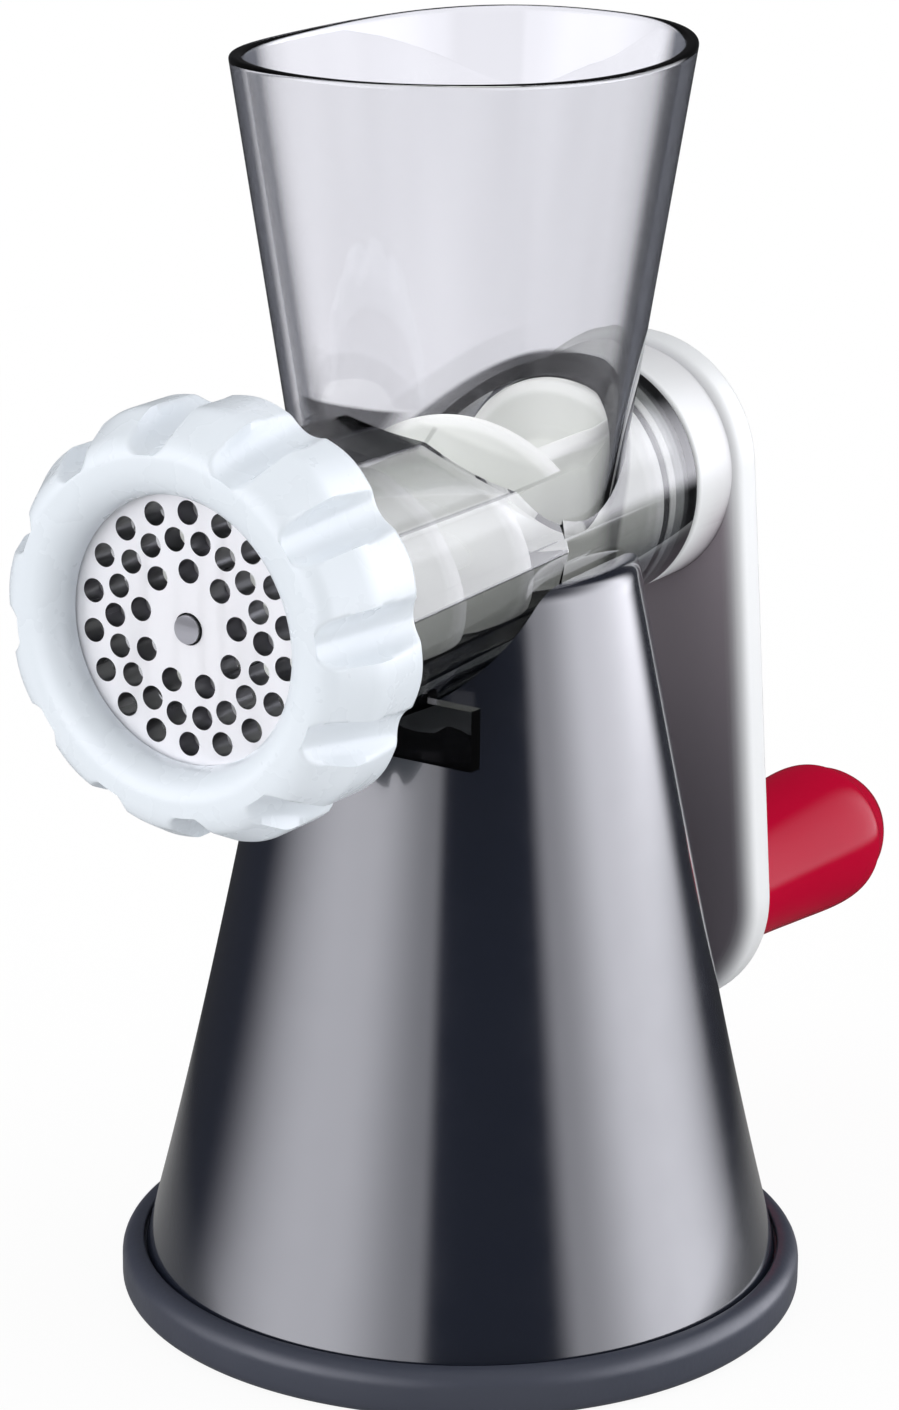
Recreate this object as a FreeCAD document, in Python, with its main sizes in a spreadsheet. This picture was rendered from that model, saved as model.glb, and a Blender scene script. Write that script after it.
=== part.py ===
import FreeCAD, Part
import math
import os
import Sketcher
from FreeCAD import Placement, Rotation, Vector

# Hand crank meat grinder, in millimetres.
# +Z is up, the table is z = 0, and the auger axis lies along Y: outlet at -Y, crank at +Y.

DRIVING_SIZES = [
    ("axis_height", 154.9, "auger axis above the table"),
    ("foot_radius", 67.0, "rubber foot, outside"),
    ("foot_height", 9.5, "rubber foot, lip above the table"),
    ("foot_shelf", 8.0, "shelf of the foot that the cone stands on"),
    ("foot_bore", 50.0, "inside radius of the foot"),
    ("foot_round", 3.2, "rounding of the foot's outer edge"),
    ("foot_lip", 4.6, "width of the foot's lip outside the cone"),
    ("base_top_radius", 32.4, "cone at its top"),
    ("base_drop", 5.4, "top of the cone below the auger axis"),
    ("base_flare", 1.3, "hollow of the cone's flank"),
    ("base_wall", 3.0, "wall of the cone"),
    ("base_round", 4.0, "rounding of the cone's top edge"),
    ("saddle_gap", 0.3, "barrel to saddle"),
    ("plate_reach", 89.3, "hole plate's face ahead of the stand's centre"),
    ("plate_thick", 4.5, "hole plate"),
    ("plate_radius", 27.0, "hole plate"),
    ("plate_proud", 1.3, "hole plate stands out of the barrel"),
    ("plate_fit", 0.1, "hole plate in its socket"),
    ("plate_hole", 2.2, "radius of a mincing hole"),
    ("plate_inner_pitch", 10.46, "radius of the inner row of holes"),
    ("plate_middle_pitch", 15.98, "radius of the middle row of holes"),
    ("plate_outer_pitch", 20.95, "radius of the outer row of holes"),
    ("plate_centre_hole", 2.95, "radius of the plate's bearing hole"),
    ("key_radius", 1.5, "nub that keeps the plate from turning"),
    ("key_fit", 0.25, "nub in the plate's notch"),
    ("socket_radius", 30.4, "barrel's threaded end, at the thread's root"),
    ("socket_length", 16.0, "barrel's threaded end"),
    ("barrel_front_radius", 29.8, "barrel behind its threaded end"),
    ("barrel_rear_radius", 24.4, "barrel at its rear rim"),
    ("barrel_rear", 44.0, "barrel's rear rim behind the stand's centre"),
    ("facet_reach", 64.0, "length of the faceted front of the barrel"),
    ("facet_proud", 0.5, "facet edges above the round barrel"),
    ("bore_front_radius", 25.4, "barrel bore behind the plate"),
    ("bore_rear_radius", 21.9, "barrel bore at the rear rim"),
    ("hopper_top", 246.1, "hopper rim above the table"),
    ("rim_half_width", 38.35, "hopper rim across X"),
    ("rim_half_length", 49.24, "hopper rim along Y"),
    ("rim_centre", -2.6, "middle of the hopper along Y"),
    ("throat_half_width", 25.5, "hopper at axis height across X"),
    ("throat_half_length", 33.8, "hopper at axis height along Y"),
    ("hopper_wall", 2.6, "hopper wall"),
    ("hopper_power", 2.3, "squareness of the hopper's oval"),
    ("stop_reach", 43.5, "stop plate's face ahead of the stand's centre"),
    ("stop_thick", 3.0, "stop plate under the barrel"),
    ("stop_half_width", 29.2, "stop plate"),
    ("stop_drop", 33.1, "lower edge of the stop plate below the auger axis"),
    ("stop_shoulder", 21.6, "shoulders of the stop plate below the auger axis"),
    ("neck_half_width", 19.7, "neck that joins the stop plate to the barrel"),
    ("keel_half_width", 7.0, "keel under the barrel"),
    ("keel_rear", 20.0, "keel's end behind the stand's centre"),
    ("keel_fit", 0.3, "keel in the saddle's slot"),
    ("ring_face", 96.6, "ring's face ahead of the stand's centre"),
    ("ring_back", 73.6, "ring's back ahead of the stand's centre"),
    ("ring_radius", 39.6, "ring nut, outside"),
    ("ring_flat", 33.0, "flat face of the ring, outer radius"),
    ("ring_mouth", 24.4, "opening of the ring"),
    ("ring_mouth_flare", 2.2, "soft edge of the opening"),
    ("ring_bevel", 9.0, "depth of the ring's outer bevel"),
    ("ring_crown", 2.0, "bulge of the ring's outer bevel"),
    ("ring_rest", 7.0, "turn of the tightened ring's scallops, in degrees"),
    ("ring_play", 0.1, "ring's lip to the plate"),
    ("ring_scallop", 8.5, "radius of a grip scallop"),
    ("ring_scallop_depth", 2.6, "depth of a grip scallop"),
    ("ring_lobes", 12, "grip scallops round the ring"),
    ("thread_lead", 6.0, "ring thread, advance of one turn"),
    ("thread_depth", 1.3, "height of a thread ridge"),
    ("thread_width", 2.2, "thread ridge at its root"),
    ("thread_margin", 2.4, "barrel's mouth to its thread ridge"),
    ("thread_rest", 120.0, "turn of the barrel's thread ridge, in degrees"),
    ("thread_root", 0.3, "depth that a ridge is rooted in its wall"),
    ("barrel_thread_turns", 1.5, "turns of the barrel's ridge"),
    ("ring_thread_turns", 1.0, "turns of the ring's ridge"),
    ("thread_fit", 0.35, "ring's thread ridge to the barrel, and the barrel's to the ring"),
    ("flight_lead", 48.0, "auger, advance of one turn"),
    ("auger_rest", 116.25, "turn of the auger's flights at rest, in degrees"),
    ("flight_thick", 3.2, "auger flight"),
    ("flight_front", 74.5, "front end of the flights ahead of the stand's centre"),
    ("flight_length", 77.5, "length of the flights"),
    ("flight_fit", 1.1, "flight to bore"),
    ("core_front_radius", 9.0, "auger core at the front"),
    ("core_rear_radius", 10.5, "auger core at the rear"),
    ("disc_front", 30.0, "auger's rear disc, front face"),
    ("disc_thick", 7.5, "auger's rear disc"),
    ("disc_fit", 0.3, "rear disc to bore"),
    ("seal_section", 1.25, "radius of the seal ring's section"),
    ("seal_fit", 0.07, "seal ring to bore"),
    ("drive_half", 6.0, "half width of the auger's square drive"),
    ("drive_fit", 0.1, "square drive in the crank's boss"),
    ("shank_half", 4.0, "half width of the knife's square shank"),
    ("shank_fit", 0.05, "knife on its shank"),
    ("pin_radius", 2.6, "pin that runs in the plate"),
    ("pin_proud", 0.7, "pin ahead of the plate"),
    ("pin_root", 22.0, "length of the pin inside the auger"),
    ("pin_root_radius", 4.0, "radius of the pin inside the auger"),
    ("knife_thick", 5.0, "cross knife"),
    ("knife_radius", 23.6, "reach of a blade"),
    ("knife_hub", 9.0, "radius of the knife's hub"),
    ("blade_root", 8.0, "blade width at the hub"),
    ("blade_tip", 6.0, "blade width at the tip"),
    ("knife_play", 0.1, "knife to plate"),
    ("boss_front", 44.6, "crank boss, face towards the barrel"),
    ("boss_radius", 24.3, "crank boss"),
    ("arm_clear", 1.427, "crank arm past the straight flank of the cone"),
    ("arm_thick", 9.0, "crank arm"),
    ("arm_half_width", 25.7, "crank arm, end radius"),
    ("arm_length", 89.0, "between the centres of the arm's round ends"),
    ("arm_round", 2.6, "rounding of the arm's edges"),
    ("arm_lean", 4.1, "crank angle at rest, in degrees"),
    ("panel_margin", 3.6, "rim round the arm's inlaid panel"),
    ("panel_thick", 2.0, "inlaid panel"),
    ("panel_fit", 0.1, "panel in its recess"),
    ("drive_web", 2.5, "crank arm between its square socket and the screw's head"),
    ("screw_radius", 2.5, "crank screw"),
    ("screw_fit", 0.1, "crank screw in the boss"),
    ("screw_depth", 16.0, "crank screw inside the auger's drive"),
    ("screw_head_radius", 5.0, "head of the crank screw"),
    ("screw_head_thick", 3.0, "head of the crank screw"),
    ("cap_radius", 9.0, "cap over the crank screw"),
    ("cap_thick", 2.2, "cap over the crank screw"),
    ("cap_proud", 0.8, "cap above the arm"),
    ("knob_past", 8.5, "knob axis past the centre of the arm's lower end"),
    ("spindle_radius", 4.0, "knob spindle"),
    ("spindle_flange", 8.0, "collar of the spindle on the arm"),
    ("spindle_flange_thick", 1.6, "collar of the spindle on the arm"),
    ("spindle_head", 6.0, "head that keeps the knob on"),
    ("spindle_head_thick", 2.5, "head that keeps the knob on"),
    ("knob_fit", 0.05, "knob bore on its spindle"),
    ("knob_play", 0.3, "knob to its collar and head"),
    ("knob_base_radius", 12.4, "knob beside the arm"),
    ("knob_radius", 15.8, "knob at its fullest"),
    ("knob_waist", 58.5, "fullest point of the knob from its foot"),
    ("knob_swell", 0.5, "bulge of the knob's flank"),
    ("knob_dome", 17.0, "length of the knob's domed end"),
    ("knob_shoulder", 9.4, "edge of the domed end past the fullest point"),
    ("knob_shoulder_radius", 13.1, "knob at the edge of its domed end"),
    ("knob_shoulder_round", 0.9, "bulge from the fullest point to the edge"),
    ("knob_crown", 1.2, "bulge of the domed end"),
    ("knob_plug_radius", 7.5, "plug in the knob's end"),
    ("plug_flat", 3.6, "radius of the flat on the plug's crown"),
    ("plug_crown", 2.0, "height of the plug's crown"),
    ("knob_seat", 50.0, "knob bore from its foot to the spindle's head"),
    ("floor_thick", 3.0, "stand's inner floor"),
    ("floor_fit", 0.4, "inner floor to the cone"),
    ("collar_radius", 12.0, "guide collar of the inner floor"),
    ("collar_height", 7.0, "guide collar above the inner floor"),
    ("collar_web", 5.0, "guide length of the collar"),
    ("hub_pocket", 9.0, "room for the cup's hub under the collar"),
    ("stud_radius", 5.0, "pull stud"),
    ("stud_fit", 0.05, "pull stud in its guide"),
    ("stud_low", 4.0, "foot of the pull stud above the table"),
    ("stud_height", 26.0, "length of the pull stud"),
    ("cup_rim_width", 5.5, "rim of the suction cup"),
    ("cup_fit", 0.3, "suction cup in the foot"),
    ("cup_skin", 3.0, "skin of the suction cup"),
    ("cup_hub", 8.0, "hub of the suction cup"),
    ("lever_hub_radius", 16.0, "hub of the suction lever"),
    ("lever_fit", 0.05, "suction lever on its collar"),
    ("lever_play", 0.3, "suction lever above the floor and the collar"),
    ("lever_web", 5.0, "top of the lever's hub"),
    ("lever_reach", 73.0, "tip of the suction lever from the stud"),
    ("lever_half_width", 6.0, "suction lever's arm"),
    ("lever_thick", 5.0, "suction lever's arm"),
    ("lever_paddle", 12.0, "length of the lever's finger paddle"),
    ("lever_paddle_half", 10.0, "half width of the finger paddle"),
    ("lever_rest", 30.0, "lever's angle from the rear at rest, in degrees"),
    ("lever_swing", 50.0, "lever's swing, in degrees"),
    ("slot_margin", 13.0, "spare angle at each end of the lever's slot"),
    ("slot_fit", 1.0, "lever arm to the edges of its slot"),
    ("boss_inset", 15.9, "screw bosses inside the cone's lower edge"),
    ("boss_post", 5.0, "radius of a screw boss"),
    ("boss_height", 44.0, "screw boss above the inner floor"),
    ("tap_radius", 1.6, "thread of a floor screw"),
    ("tap_fit", 0.02, "floor screw in its boss"),
    ("tap_depth", 12.0, "floor screw inside its boss"),
    ("tap_head_radius", 3.2, "head of a floor screw"),
    ("tap_head_thick", 2.0, "head of a floor screw"),
]

doc = FreeCAD.newDocument("meat_grinder")
sheet = doc.addObject("Spreadsheet::Sheet", "sizes")
for row, (alias, number, note) in enumerate(DRIVING_SIZES, start=1):
    sheet.set("A%d" % row, note)
    sheet.set("B%d" % row, str(number))
    sheet.setAlias("B%d" % row, alias)
doc.recompute()


class Size:
    """A length known both as a number and as the sheet expression that drives it."""

    def __init__(self, value, text):
        self.value = float(value)
        self.text = text

    def __float__(self):
        return self.value

    def __add__(self, other):
        return Size(self.value + float(other), "(%s + %s)" % (self.text, text_of(other)))

    def __radd__(self, other):
        return self + other

    def __sub__(self, other):
        return Size(self.value - float(other), "(%s - %s)" % (self.text, text_of(other)))

    def __rsub__(self, other):
        return -self + other

    def __mul__(self, other):
        return Size(self.value * float(other), "(%s * %s)" % (self.text, text_of(other)))

    def __rmul__(self, other):
        return self * other

    def __truediv__(self, other):
        return Size(self.value / float(other), "(%s / %s)" % (self.text, text_of(other)))

    def __neg__(self):
        return Size(-self.value, "(0 - %s)" % self.text)


def text_of(size):
    return size.text if isinstance(size, Size) else repr(float(size))


class Sizes:
    """The sheet's cells by name."""

    def __getattr__(self, alias):
        return Size(sheet.get(alias), "sizes." + alias)


S = Sizes()


def number(size):
    return float(size)


def bind(item, prop, size):
    item.setExpression(prop, text_of(size))


# Tapers of the barrel and its bore, as sizes at a place along the axis

MOUTH_Y = S.plate_proud - S.plate_reach
SHOULDER_Y = S.plate_thick - S.plate_reach
LAND_Y = MOUTH_Y + S.socket_length
FACET_END_Y = LAND_Y + S.facet_reach
RIM_Y = S.barrel_rear
DISC_REAR_Y = S.disc_front + S.disc_thick
FLOOR_TOP = S.foot_shelf + S.floor_thick
BASE_FOOT_RADIUS = S.foot_radius - S.foot_lip
BOSS_RING = BASE_FOOT_RADIUS - S.boss_inset
BASE_TOP = S.axis_height - S.base_drop
STOP_LOW = S.axis_height - S.stop_drop
STOP_HIGH = S.axis_height - S.stop_shoulder


def barrel_radius(y):
    slope = (S.barrel_rear_radius - S.barrel_front_radius) / (RIM_Y - LAND_Y)
    return S.barrel_front_radius + slope * (y - LAND_Y)


def bore_radius(y):
    slope = (S.bore_rear_radius - S.bore_front_radius) / (RIM_Y - SHOULDER_Y)
    return S.bore_front_radius + slope * (y - SHOULDER_Y)


def base_radius(z):
    slope = (S.base_top_radius - BASE_FOOT_RADIUS) / (BASE_TOP - S.foot_shelf)
    return BASE_FOOT_RADIUS + slope * (z - S.foot_shelf)


ARM_INNER = base_radius(S.axis_height - S.arm_length - S.arm_half_width) + S.arm_clear
ARM_OUTER = ARM_INNER + S.arm_thick
HEAD_DEPTH = S.screw_head_thick + S.cap_thick - S.cap_proud
KNOB_OFFSET = S.arm_length + S.knob_past
DRIVE_DEPTH = ARM_OUTER - HEAD_DEPTH - S.drive_web - S.boss_front


# Helpers for bodies, sketches and features

def new_body(name):
    body = doc.addObject("PartDesign::Body", name)
    body.Label = name
    return body


def origin_plane(body, role):
    return next(item for item in body.Origin.OriginFeatures if item.Role == role)


def new_sketch(body, name, role, lift=None):
    sketch = body.newObject("Sketcher::SketchObject", name)
    sketch.AttachmentSupport = [(origin_plane(body, role), "")]
    sketch.MapMode = "FlatFace"
    if lift is not None:
        bind(sketch, "AttachmentOffset.Base.z", lift)
    return sketch


def drive(sketch, constraint, size):
    index = sketch.addConstraint(constraint)
    sketch.setExpression("Constraints[%d]" % index, text_of(size))


def pin_point(sketch, geometry, end, x, y):
    """Hold one sketch point at two sizes measured from the sketch's origin."""
    drive(sketch, Sketcher.Constraint("DistanceX", -1, 1, geometry, end, number(x)), x)
    drive(sketch, Sketcher.Constraint("DistanceY", -1, 1, geometry, end, number(y)), y)


def arc_between(start, finish, sag):
    """An arc that bulges by sag to the left of the way from start to finish."""
    along = finish - start
    left = Vector(-along.y, along.x, 0) / along.Length
    middle = (start + finish) * 0.5 + left * sag
    if sag > 0:
        return Part.Arc(finish, middle, start), (2, 1)
    return Part.Arc(start, middle, finish), (1, 2)


def closed_outline(sketch, corners):
    """Draw a closed outline. A corner is (x, y) or (x, y, sag), with sag the bulge of the next side."""
    spots = [Vector(number(corner[0]), number(corner[1]), 0) for corner in corners]
    sides = []
    for index, corner in enumerate(corners):
        start = spots[index]
        finish = spots[(index + 1) % len(corners)]
        if len(corner) == 3:
            curve, ends = arc_between(start, finish, number(corner[2]))
        else:
            curve, ends = Part.LineSegment(start, finish), (1, 2)
        sides.append((sketch.addGeometry(curve, False), ends))
    for index, corner in enumerate(corners):
        side, ends = sides[index]
        previous, previous_ends = sides[index - 1]
        pin_point(sketch, side, ends[0], corner[0], corner[1])
        sketch.addConstraint(Sketcher.Constraint("Coincident", previous, previous_ends[1], side, ends[0]))
        if len(corner) == 3:
            radius = arc_radius(corners, index)
            drive(sketch, Sketcher.Constraint("Radius", side, number(radius)), radius)


def arc_radius(corners, index):
    start = corners[index]
    finish = corners[(index + 1) % len(corners)]
    dx = Size(0, "0") + finish[0] - start[0]
    dy = Size(0, "0") + finish[1] - start[1]
    sag = start[2] if number(start[2]) > 0 else -start[2]
    return (dx * dx + dy * dy) / (8 * sag) + sag / 2


def circle(sketch, x, y, radius):
    spot = Vector(number(x), number(y), 0)
    index = sketch.addGeometry(Part.Circle(spot, Vector(0, 0, 1), number(radius)), False)
    pin_point(sketch, index, 3, x, y)
    drive(sketch, Sketcher.Constraint("Radius", index, number(radius)), radius)


def rectangle(sketch, left, low, right, high):
    closed_outline(sketch, [(left, low), (right, low), (right, high), (left, high)])


QUARTER_SAG = 1 - math.sqrt(0.5)


def slot_outline(sketch, radius, length):
    """A vertical slot with its upper centre at the sketch's origin."""
    sag = radius * QUARTER_SAG
    closed_outline(sketch, [
        (radius, -length, sag), (0, -length - radius, sag), (-radius, -length),
        (-radius, 0, sag), (0, radius, sag), (radius, 0),
    ])


def revolve(body, name, corners, role="XY_Plane"):
    sketch = new_sketch(body, name + "_profile", role)
    closed_outline(sketch, corners)
    feature = body.newObject("PartDesign::Revolution", name)
    feature.Profile = sketch
    feature.ReferenceAxis = (sketch, ["V_Axis"])
    feature.Angle = 360.0
    return feature


def pad(body, name, sketch, length, reverse=False, midplane=False):
    feature = body.newObject("PartDesign::Pad", name)
    feature.Profile = sketch
    bind(feature, "Length", length)
    feature.Reversed = reverse
    feature.Midplane = midplane
    return feature


def pocket(body, name, sketch, depth, reverse=False):
    feature = body.newObject("PartDesign::Pocket", name)
    feature.Profile = sketch
    bind(feature, "Length", depth)
    feature.Reversed = reverse
    return feature


def polar(body, name, original, count, axis_role):
    feature = body.newObject("PartDesign::PolarPattern", name)
    feature.Originals = [original]
    feature.Axis = (origin_plane(body, axis_role), [""])
    feature.Angle = 360.0
    if isinstance(count, Size):
        bind(feature, "Occurrences", count)
    else:
        feature.Occurrences = count
    body.Tip = feature
    return feature


def edges_where(feature, test):
    """Names of the feature's edges whose middle point passes the test."""
    names = []
    for index, edge in enumerate(feature.Shape.Edges, start=1):
        middle = edge.valueAt((edge.FirstParameter + edge.LastParameter) / 2)
        if test(middle):
            names.append("Edge%d" % index)
    return names


def fillet(body, name, base, test, radius):
    doc.recompute()
    feature = body.newObject("PartDesign::Fillet", name)
    feature.Base = (base, edges_where(base, test))
    bind(feature, "Radius", radius)
    return feature


def on_axis(item, turn=None):
    """Put a piece on the auger axis, turned about it by an angle in degrees."""
    item.Placement = Placement(Vector(0, 0, number(S.axis_height)), Rotation(Vector(0, 1, 0), 0))
    bind(item, "Placement.Base.z", S.axis_height)
    if turn is not None:
        item.Placement.Rotation = Rotation(Vector(0, 1, 0), number(turn))
        bind(item, "Placement.Rotation.Angle", turn)


def part_object(kind, name, **sizes):
    item = doc.addObject(kind, name)
    item.Label = name
    for prop, size in sizes.items():
        bind(item, prop, size)
    return item


def place(item, x=0, y=0, z=0):
    for axis, size in (("x", x), ("y", y), ("z", z)):
        bind(item, "Placement.Base." + axis, size)


def along_y(item):
    item.Placement.Rotation = Rotation(Vector(1, 0, 0), -90)


def joined(kind, name, shapes):
    item = doc.addObject(kind, name)
    item.Label = name
    item.Shapes = shapes
    return item


def cut(name, base, tool):
    item = doc.addObject("Part::Cut", name)
    item.Label = name
    item.Base = base
    item.Tool = tool
    return item


# Stand: foot, cone, inner floor and suction mechanism

def make_foot_ring():
    body = new_body("foot_ring")
    lip = BASE_FOOT_RADIUS + S.saddle_gap
    ring = revolve(body, "ring", [
        (S.foot_bore, 0), (S.foot_radius, 0), (S.foot_radius, S.foot_height),
        (lip, S.foot_height), (lip, S.foot_shelf), (S.foot_bore, S.foot_shelf),
    ], "XZ_Plane")
    outer = number(S.foot_radius)
    fillet(body, "soft_edge", ring, lambda spot: math.hypot(spot.x, spot.y) > outer - 0.1, S.foot_round)
    return body


def barrel_solid(name, grow):
    """The barrel's tapered outside, from the threaded end to past the rear rim, grown by a gap."""
    overrun = 40.0
    cone = part_object("Part::Cone", name, Height=RIM_Y - LAND_Y + 2 * overrun,
                       Radius1=barrel_radius(LAND_Y - overrun) + grow,
                       Radius2=barrel_radius(RIM_Y + overrun) + grow)
    along_y(cone)
    place(cone, 0, LAND_Y - overrun, S.axis_height)
    return cone


def cone_outline(inset, low, high):
    radius_low = base_radius(low) - inset
    radius_high = base_radius(high) - inset
    return [(0, low), (radius_low, low, S.base_flare), (radius_high, high), (0, high)]


def make_base_cone():
    outside = new_body("cone_outside")
    solid = revolve(outside, "cone", cone_outline(0, S.foot_shelf, BASE_TOP), "XZ_Plane")
    top = number(BASE_TOP)
    fillet(outside, "top_round", solid, lambda spot: spot.z > top - 0.1, S.base_round)

    inside = new_body("cone_inside")
    revolve(inside, "hollow", cone_outline(S.base_wall, S.foot_shelf, BASE_TOP - S.base_wall), "XZ_Plane")
    trough = barrel_solid("saddle_wall", S.facet_proud + S.saddle_gap + S.base_wall)
    posts = [make_screw_post(index) for index in range(3)]
    solid_inside = joined("Part::MultiFuse", "saddle_and_posts", [trough] + posts)
    hollow = cut("base_hollow", inside, solid_inside)

    saddle = barrel_solid("saddle", S.facet_proud + S.saddle_gap)
    keel_slot = part_object("Part::Box", "keel_slot", Length=2 * (S.keel_half_width + S.keel_fit),
                            Width=S.stop_reach + S.keel_rear + 2 * S.keel_fit,
                            Height=S.axis_height - STOP_LOW)
    place(keel_slot, -(S.keel_half_width + S.keel_fit), -(S.stop_reach + S.keel_fit),
          STOP_LOW - S.keel_fit)
    tools = joined("Part::MultiFuse", "base_cuts",
                   [hollow, saddle, keel_slot, make_lever_slot()] + [make_tap_hole(i) for i in range(3)])
    return cut("base_cone", outside, tools)


POST_ANGLES = (-90.0, 30.0, 150.0)


def around_stand(item, index, radius, low):
    angle = math.radians(POST_ANGLES[index])
    place(item, radius * math.cos(angle), radius * math.sin(angle), low)


def make_screw_post(index):
    post = part_object("Part::Cylinder", "screw_post_%d" % (index + 1),
                       Radius=S.boss_post, Height=S.boss_height)
    around_stand(post, index, BOSS_RING, FLOOR_TOP)
    return post


def make_tap_hole(index):
    hole = part_object("Part::Cylinder", "tap_hole_%d" % (index + 1),
                       Radius=S.tap_radius + S.tap_fit, Height=S.tap_depth + S.tap_fit)
    around_stand(hole, index, BOSS_RING, FLOOR_TOP)
    return hole


LEVER_LOW = FLOOR_TOP + S.lever_play + S.slot_fit


def make_lever_slot():
    slot = part_object("Part::Cylinder", "lever_slot", Radius=S.foot_radius + S.base_wall,
                       Height=S.lever_thick + 2 * S.slot_fit,
                       Angle=S.lever_swing + 2 * S.slot_margin)
    start = 90 + S.lever_rest - S.lever_swing - S.slot_margin
    place(slot, 0, 0, LEVER_LOW - S.slot_fit)
    slot.Placement.Rotation = Rotation(Vector(0, 0, 1), number(start))
    bind(slot, "Placement.Rotation.Angle", start)
    return slot


def make_inner_floor():
    body = new_body("inner_floor")
    edge = base_radius(FLOOR_TOP) - S.base_wall - S.base_flare - S.floor_fit
    collar_top = FLOOR_TOP + S.collar_height
    revolve(body, "floor", [
        (S.hub_pocket, S.foot_shelf), (edge, S.foot_shelf), (edge, FLOOR_TOP), (S.collar_radius, FLOOR_TOP),
        (S.collar_radius, collar_top), (S.stud_radius + S.stud_fit, collar_top),
        (S.stud_radius + S.stud_fit, collar_top - S.collar_web), (S.hub_pocket, collar_top - S.collar_web),
    ], "XZ_Plane")
    for index in range(3):
        sketch = new_sketch(body, "screw_hole_%d" % (index + 1), "XY_Plane", S.foot_shelf)
        angle = math.radians(POST_ANGLES[index])
        spot = (BOSS_RING * math.cos(angle), BOSS_RING * math.sin(angle))
        circle(sketch, spot[0], spot[1], S.tap_radius + S.tap_fit)
        pocket(body, "screw_way_%d" % (index + 1), sketch, S.floor_thick, reverse=True)
        seat = new_sketch(body, "head_seat_%d" % (index + 1), "XY_Plane", S.foot_shelf)
        circle(seat, spot[0], spot[1], S.tap_head_radius + S.tap_fit)
        pocket(body, "head_recess_%d" % (index + 1), seat, S.tap_head_thick, reverse=True)
    return body


def make_floor_screws():
    pieces = []
    for index in range(3):
        head = part_object("Part::Cylinder", "screw_head_%d" % (index + 1),
                           Radius=S.tap_head_radius, Height=S.tap_head_thick)
        around_stand(head, index, BOSS_RING, S.foot_shelf)
        shank = part_object("Part::Cylinder", "screw_shank_%d" % (index + 1), Radius=S.tap_radius,
                            Height=S.floor_thick - S.tap_head_thick + S.tap_depth)
        around_stand(shank, index, BOSS_RING, S.foot_shelf + S.tap_head_thick)
        pieces += [head, shank]
    return joined("Part::MultiFuse", "floor_screws", pieces)


def make_suction_cup():
    body = new_body("suction_cup")
    rim = S.foot_bore - S.cup_fit
    rim_inner = rim - S.cup_rim_width
    top = S.foot_shelf
    revolve(body, "cup", [
        (0, 0), (rim, 0), (rim, top), (rim_inner, top), (rim_inner, S.cup_skin), (S.cup_hub, S.cup_skin),
        (S.cup_hub, top), (S.stud_radius, top), (S.stud_radius, S.stud_low), (0, S.stud_low),
    ], "XZ_Plane")
    return body


def make_pull_stud():
    stud = part_object("Part::Cylinder", "pull_stud", Radius=S.stud_radius, Height=S.stud_height)
    place(stud, 0, 0, S.stud_low)
    return stud


def make_suction_lever():
    body = new_body("suction_lever")
    low = FLOOR_TOP + S.lever_play
    web = FLOOR_TOP + S.collar_height + S.lever_play
    top = web + S.lever_web
    inner = S.collar_radius + S.lever_fit
    hole = S.stud_radius + S.stud_fit
    revolve(body, "hub", [
        (inner, low), (S.lever_hub_radius, low), (S.lever_hub_radius, top),
        (hole, top), (hole, web), (inner, web),
    ], "XZ_Plane")
    arm = new_sketch(body, "arm_outline", "XY_Plane", LEVER_LOW)
    root = (inner + S.lever_hub_radius) / 2
    half = S.lever_half_width
    wide = S.lever_paddle_half
    neck = S.lever_reach - S.lever_paddle
    shoulder = neck - S.lever_paddle / 2
    closed_outline(arm, [
        (-half, root), (half, root), (half, shoulder), (wide, neck),
        (wide, S.lever_reach - S.lever_fit, -S.slot_fit), (-wide, S.lever_reach - S.lever_fit),
        (-wide, neck), (-half, shoulder),
    ])
    pad(body, "arm", arm, S.lever_thick)
    body.Placement.Rotation = Rotation(Vector(0, 0, 1), number(S.lever_rest))
    bind(body, "Placement.Rotation.Angle", S.lever_rest)
    return body


# Clear moulding: hopper, barrel, stop plate and keel in one piece

OVAL_POINTS = 32


def oval(half_width, half_length, z):
    """A squared oval about the hopper's middle, as one closed curve."""
    power = 2 / number(S.hopper_power)
    points = []
    for index in range(OVAL_POINTS):
        turn = 2 * math.pi * index / OVAL_POINTS
        x = half_width * math.copysign(abs(math.cos(turn)) ** power, math.cos(turn))
        y = half_length * math.copysign(abs(math.sin(turn)) ** power, math.sin(turn))
        points.append(Vector(x, y + number(S.rim_centre), z))
    curve = Part.BSplineCurve()
    curve.interpolate(points, PeriodicFlag=True)
    return Part.Wire(curve.toShape())


def hopper_solid(name, inset, overrun):
    """The hopper's straight taper from the rim to the auger axis, drawn in by a wall."""
    foot = number(S.axis_height)
    rim = number(S.hopper_top)
    reach = (rim + overrun - foot) / (rim - foot)
    width = number(S.throat_half_width)
    length = number(S.throat_half_length)
    top_width = width + reach * (number(S.rim_half_width) - width)
    top_length = length + reach * (number(S.rim_half_length) - length)
    item = doc.addObject("Part::Feature", name)
    item.Label = name
    low_oval = oval(width - inset, length - inset, foot)
    top_oval = oval(top_width - inset, top_length - inset, rim + overrun)
    item.Shape = Part.makeLoft([low_oval, top_oval], True, True)
    return item


THREAD_START = MOUTH_Y + S.thread_margin


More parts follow.
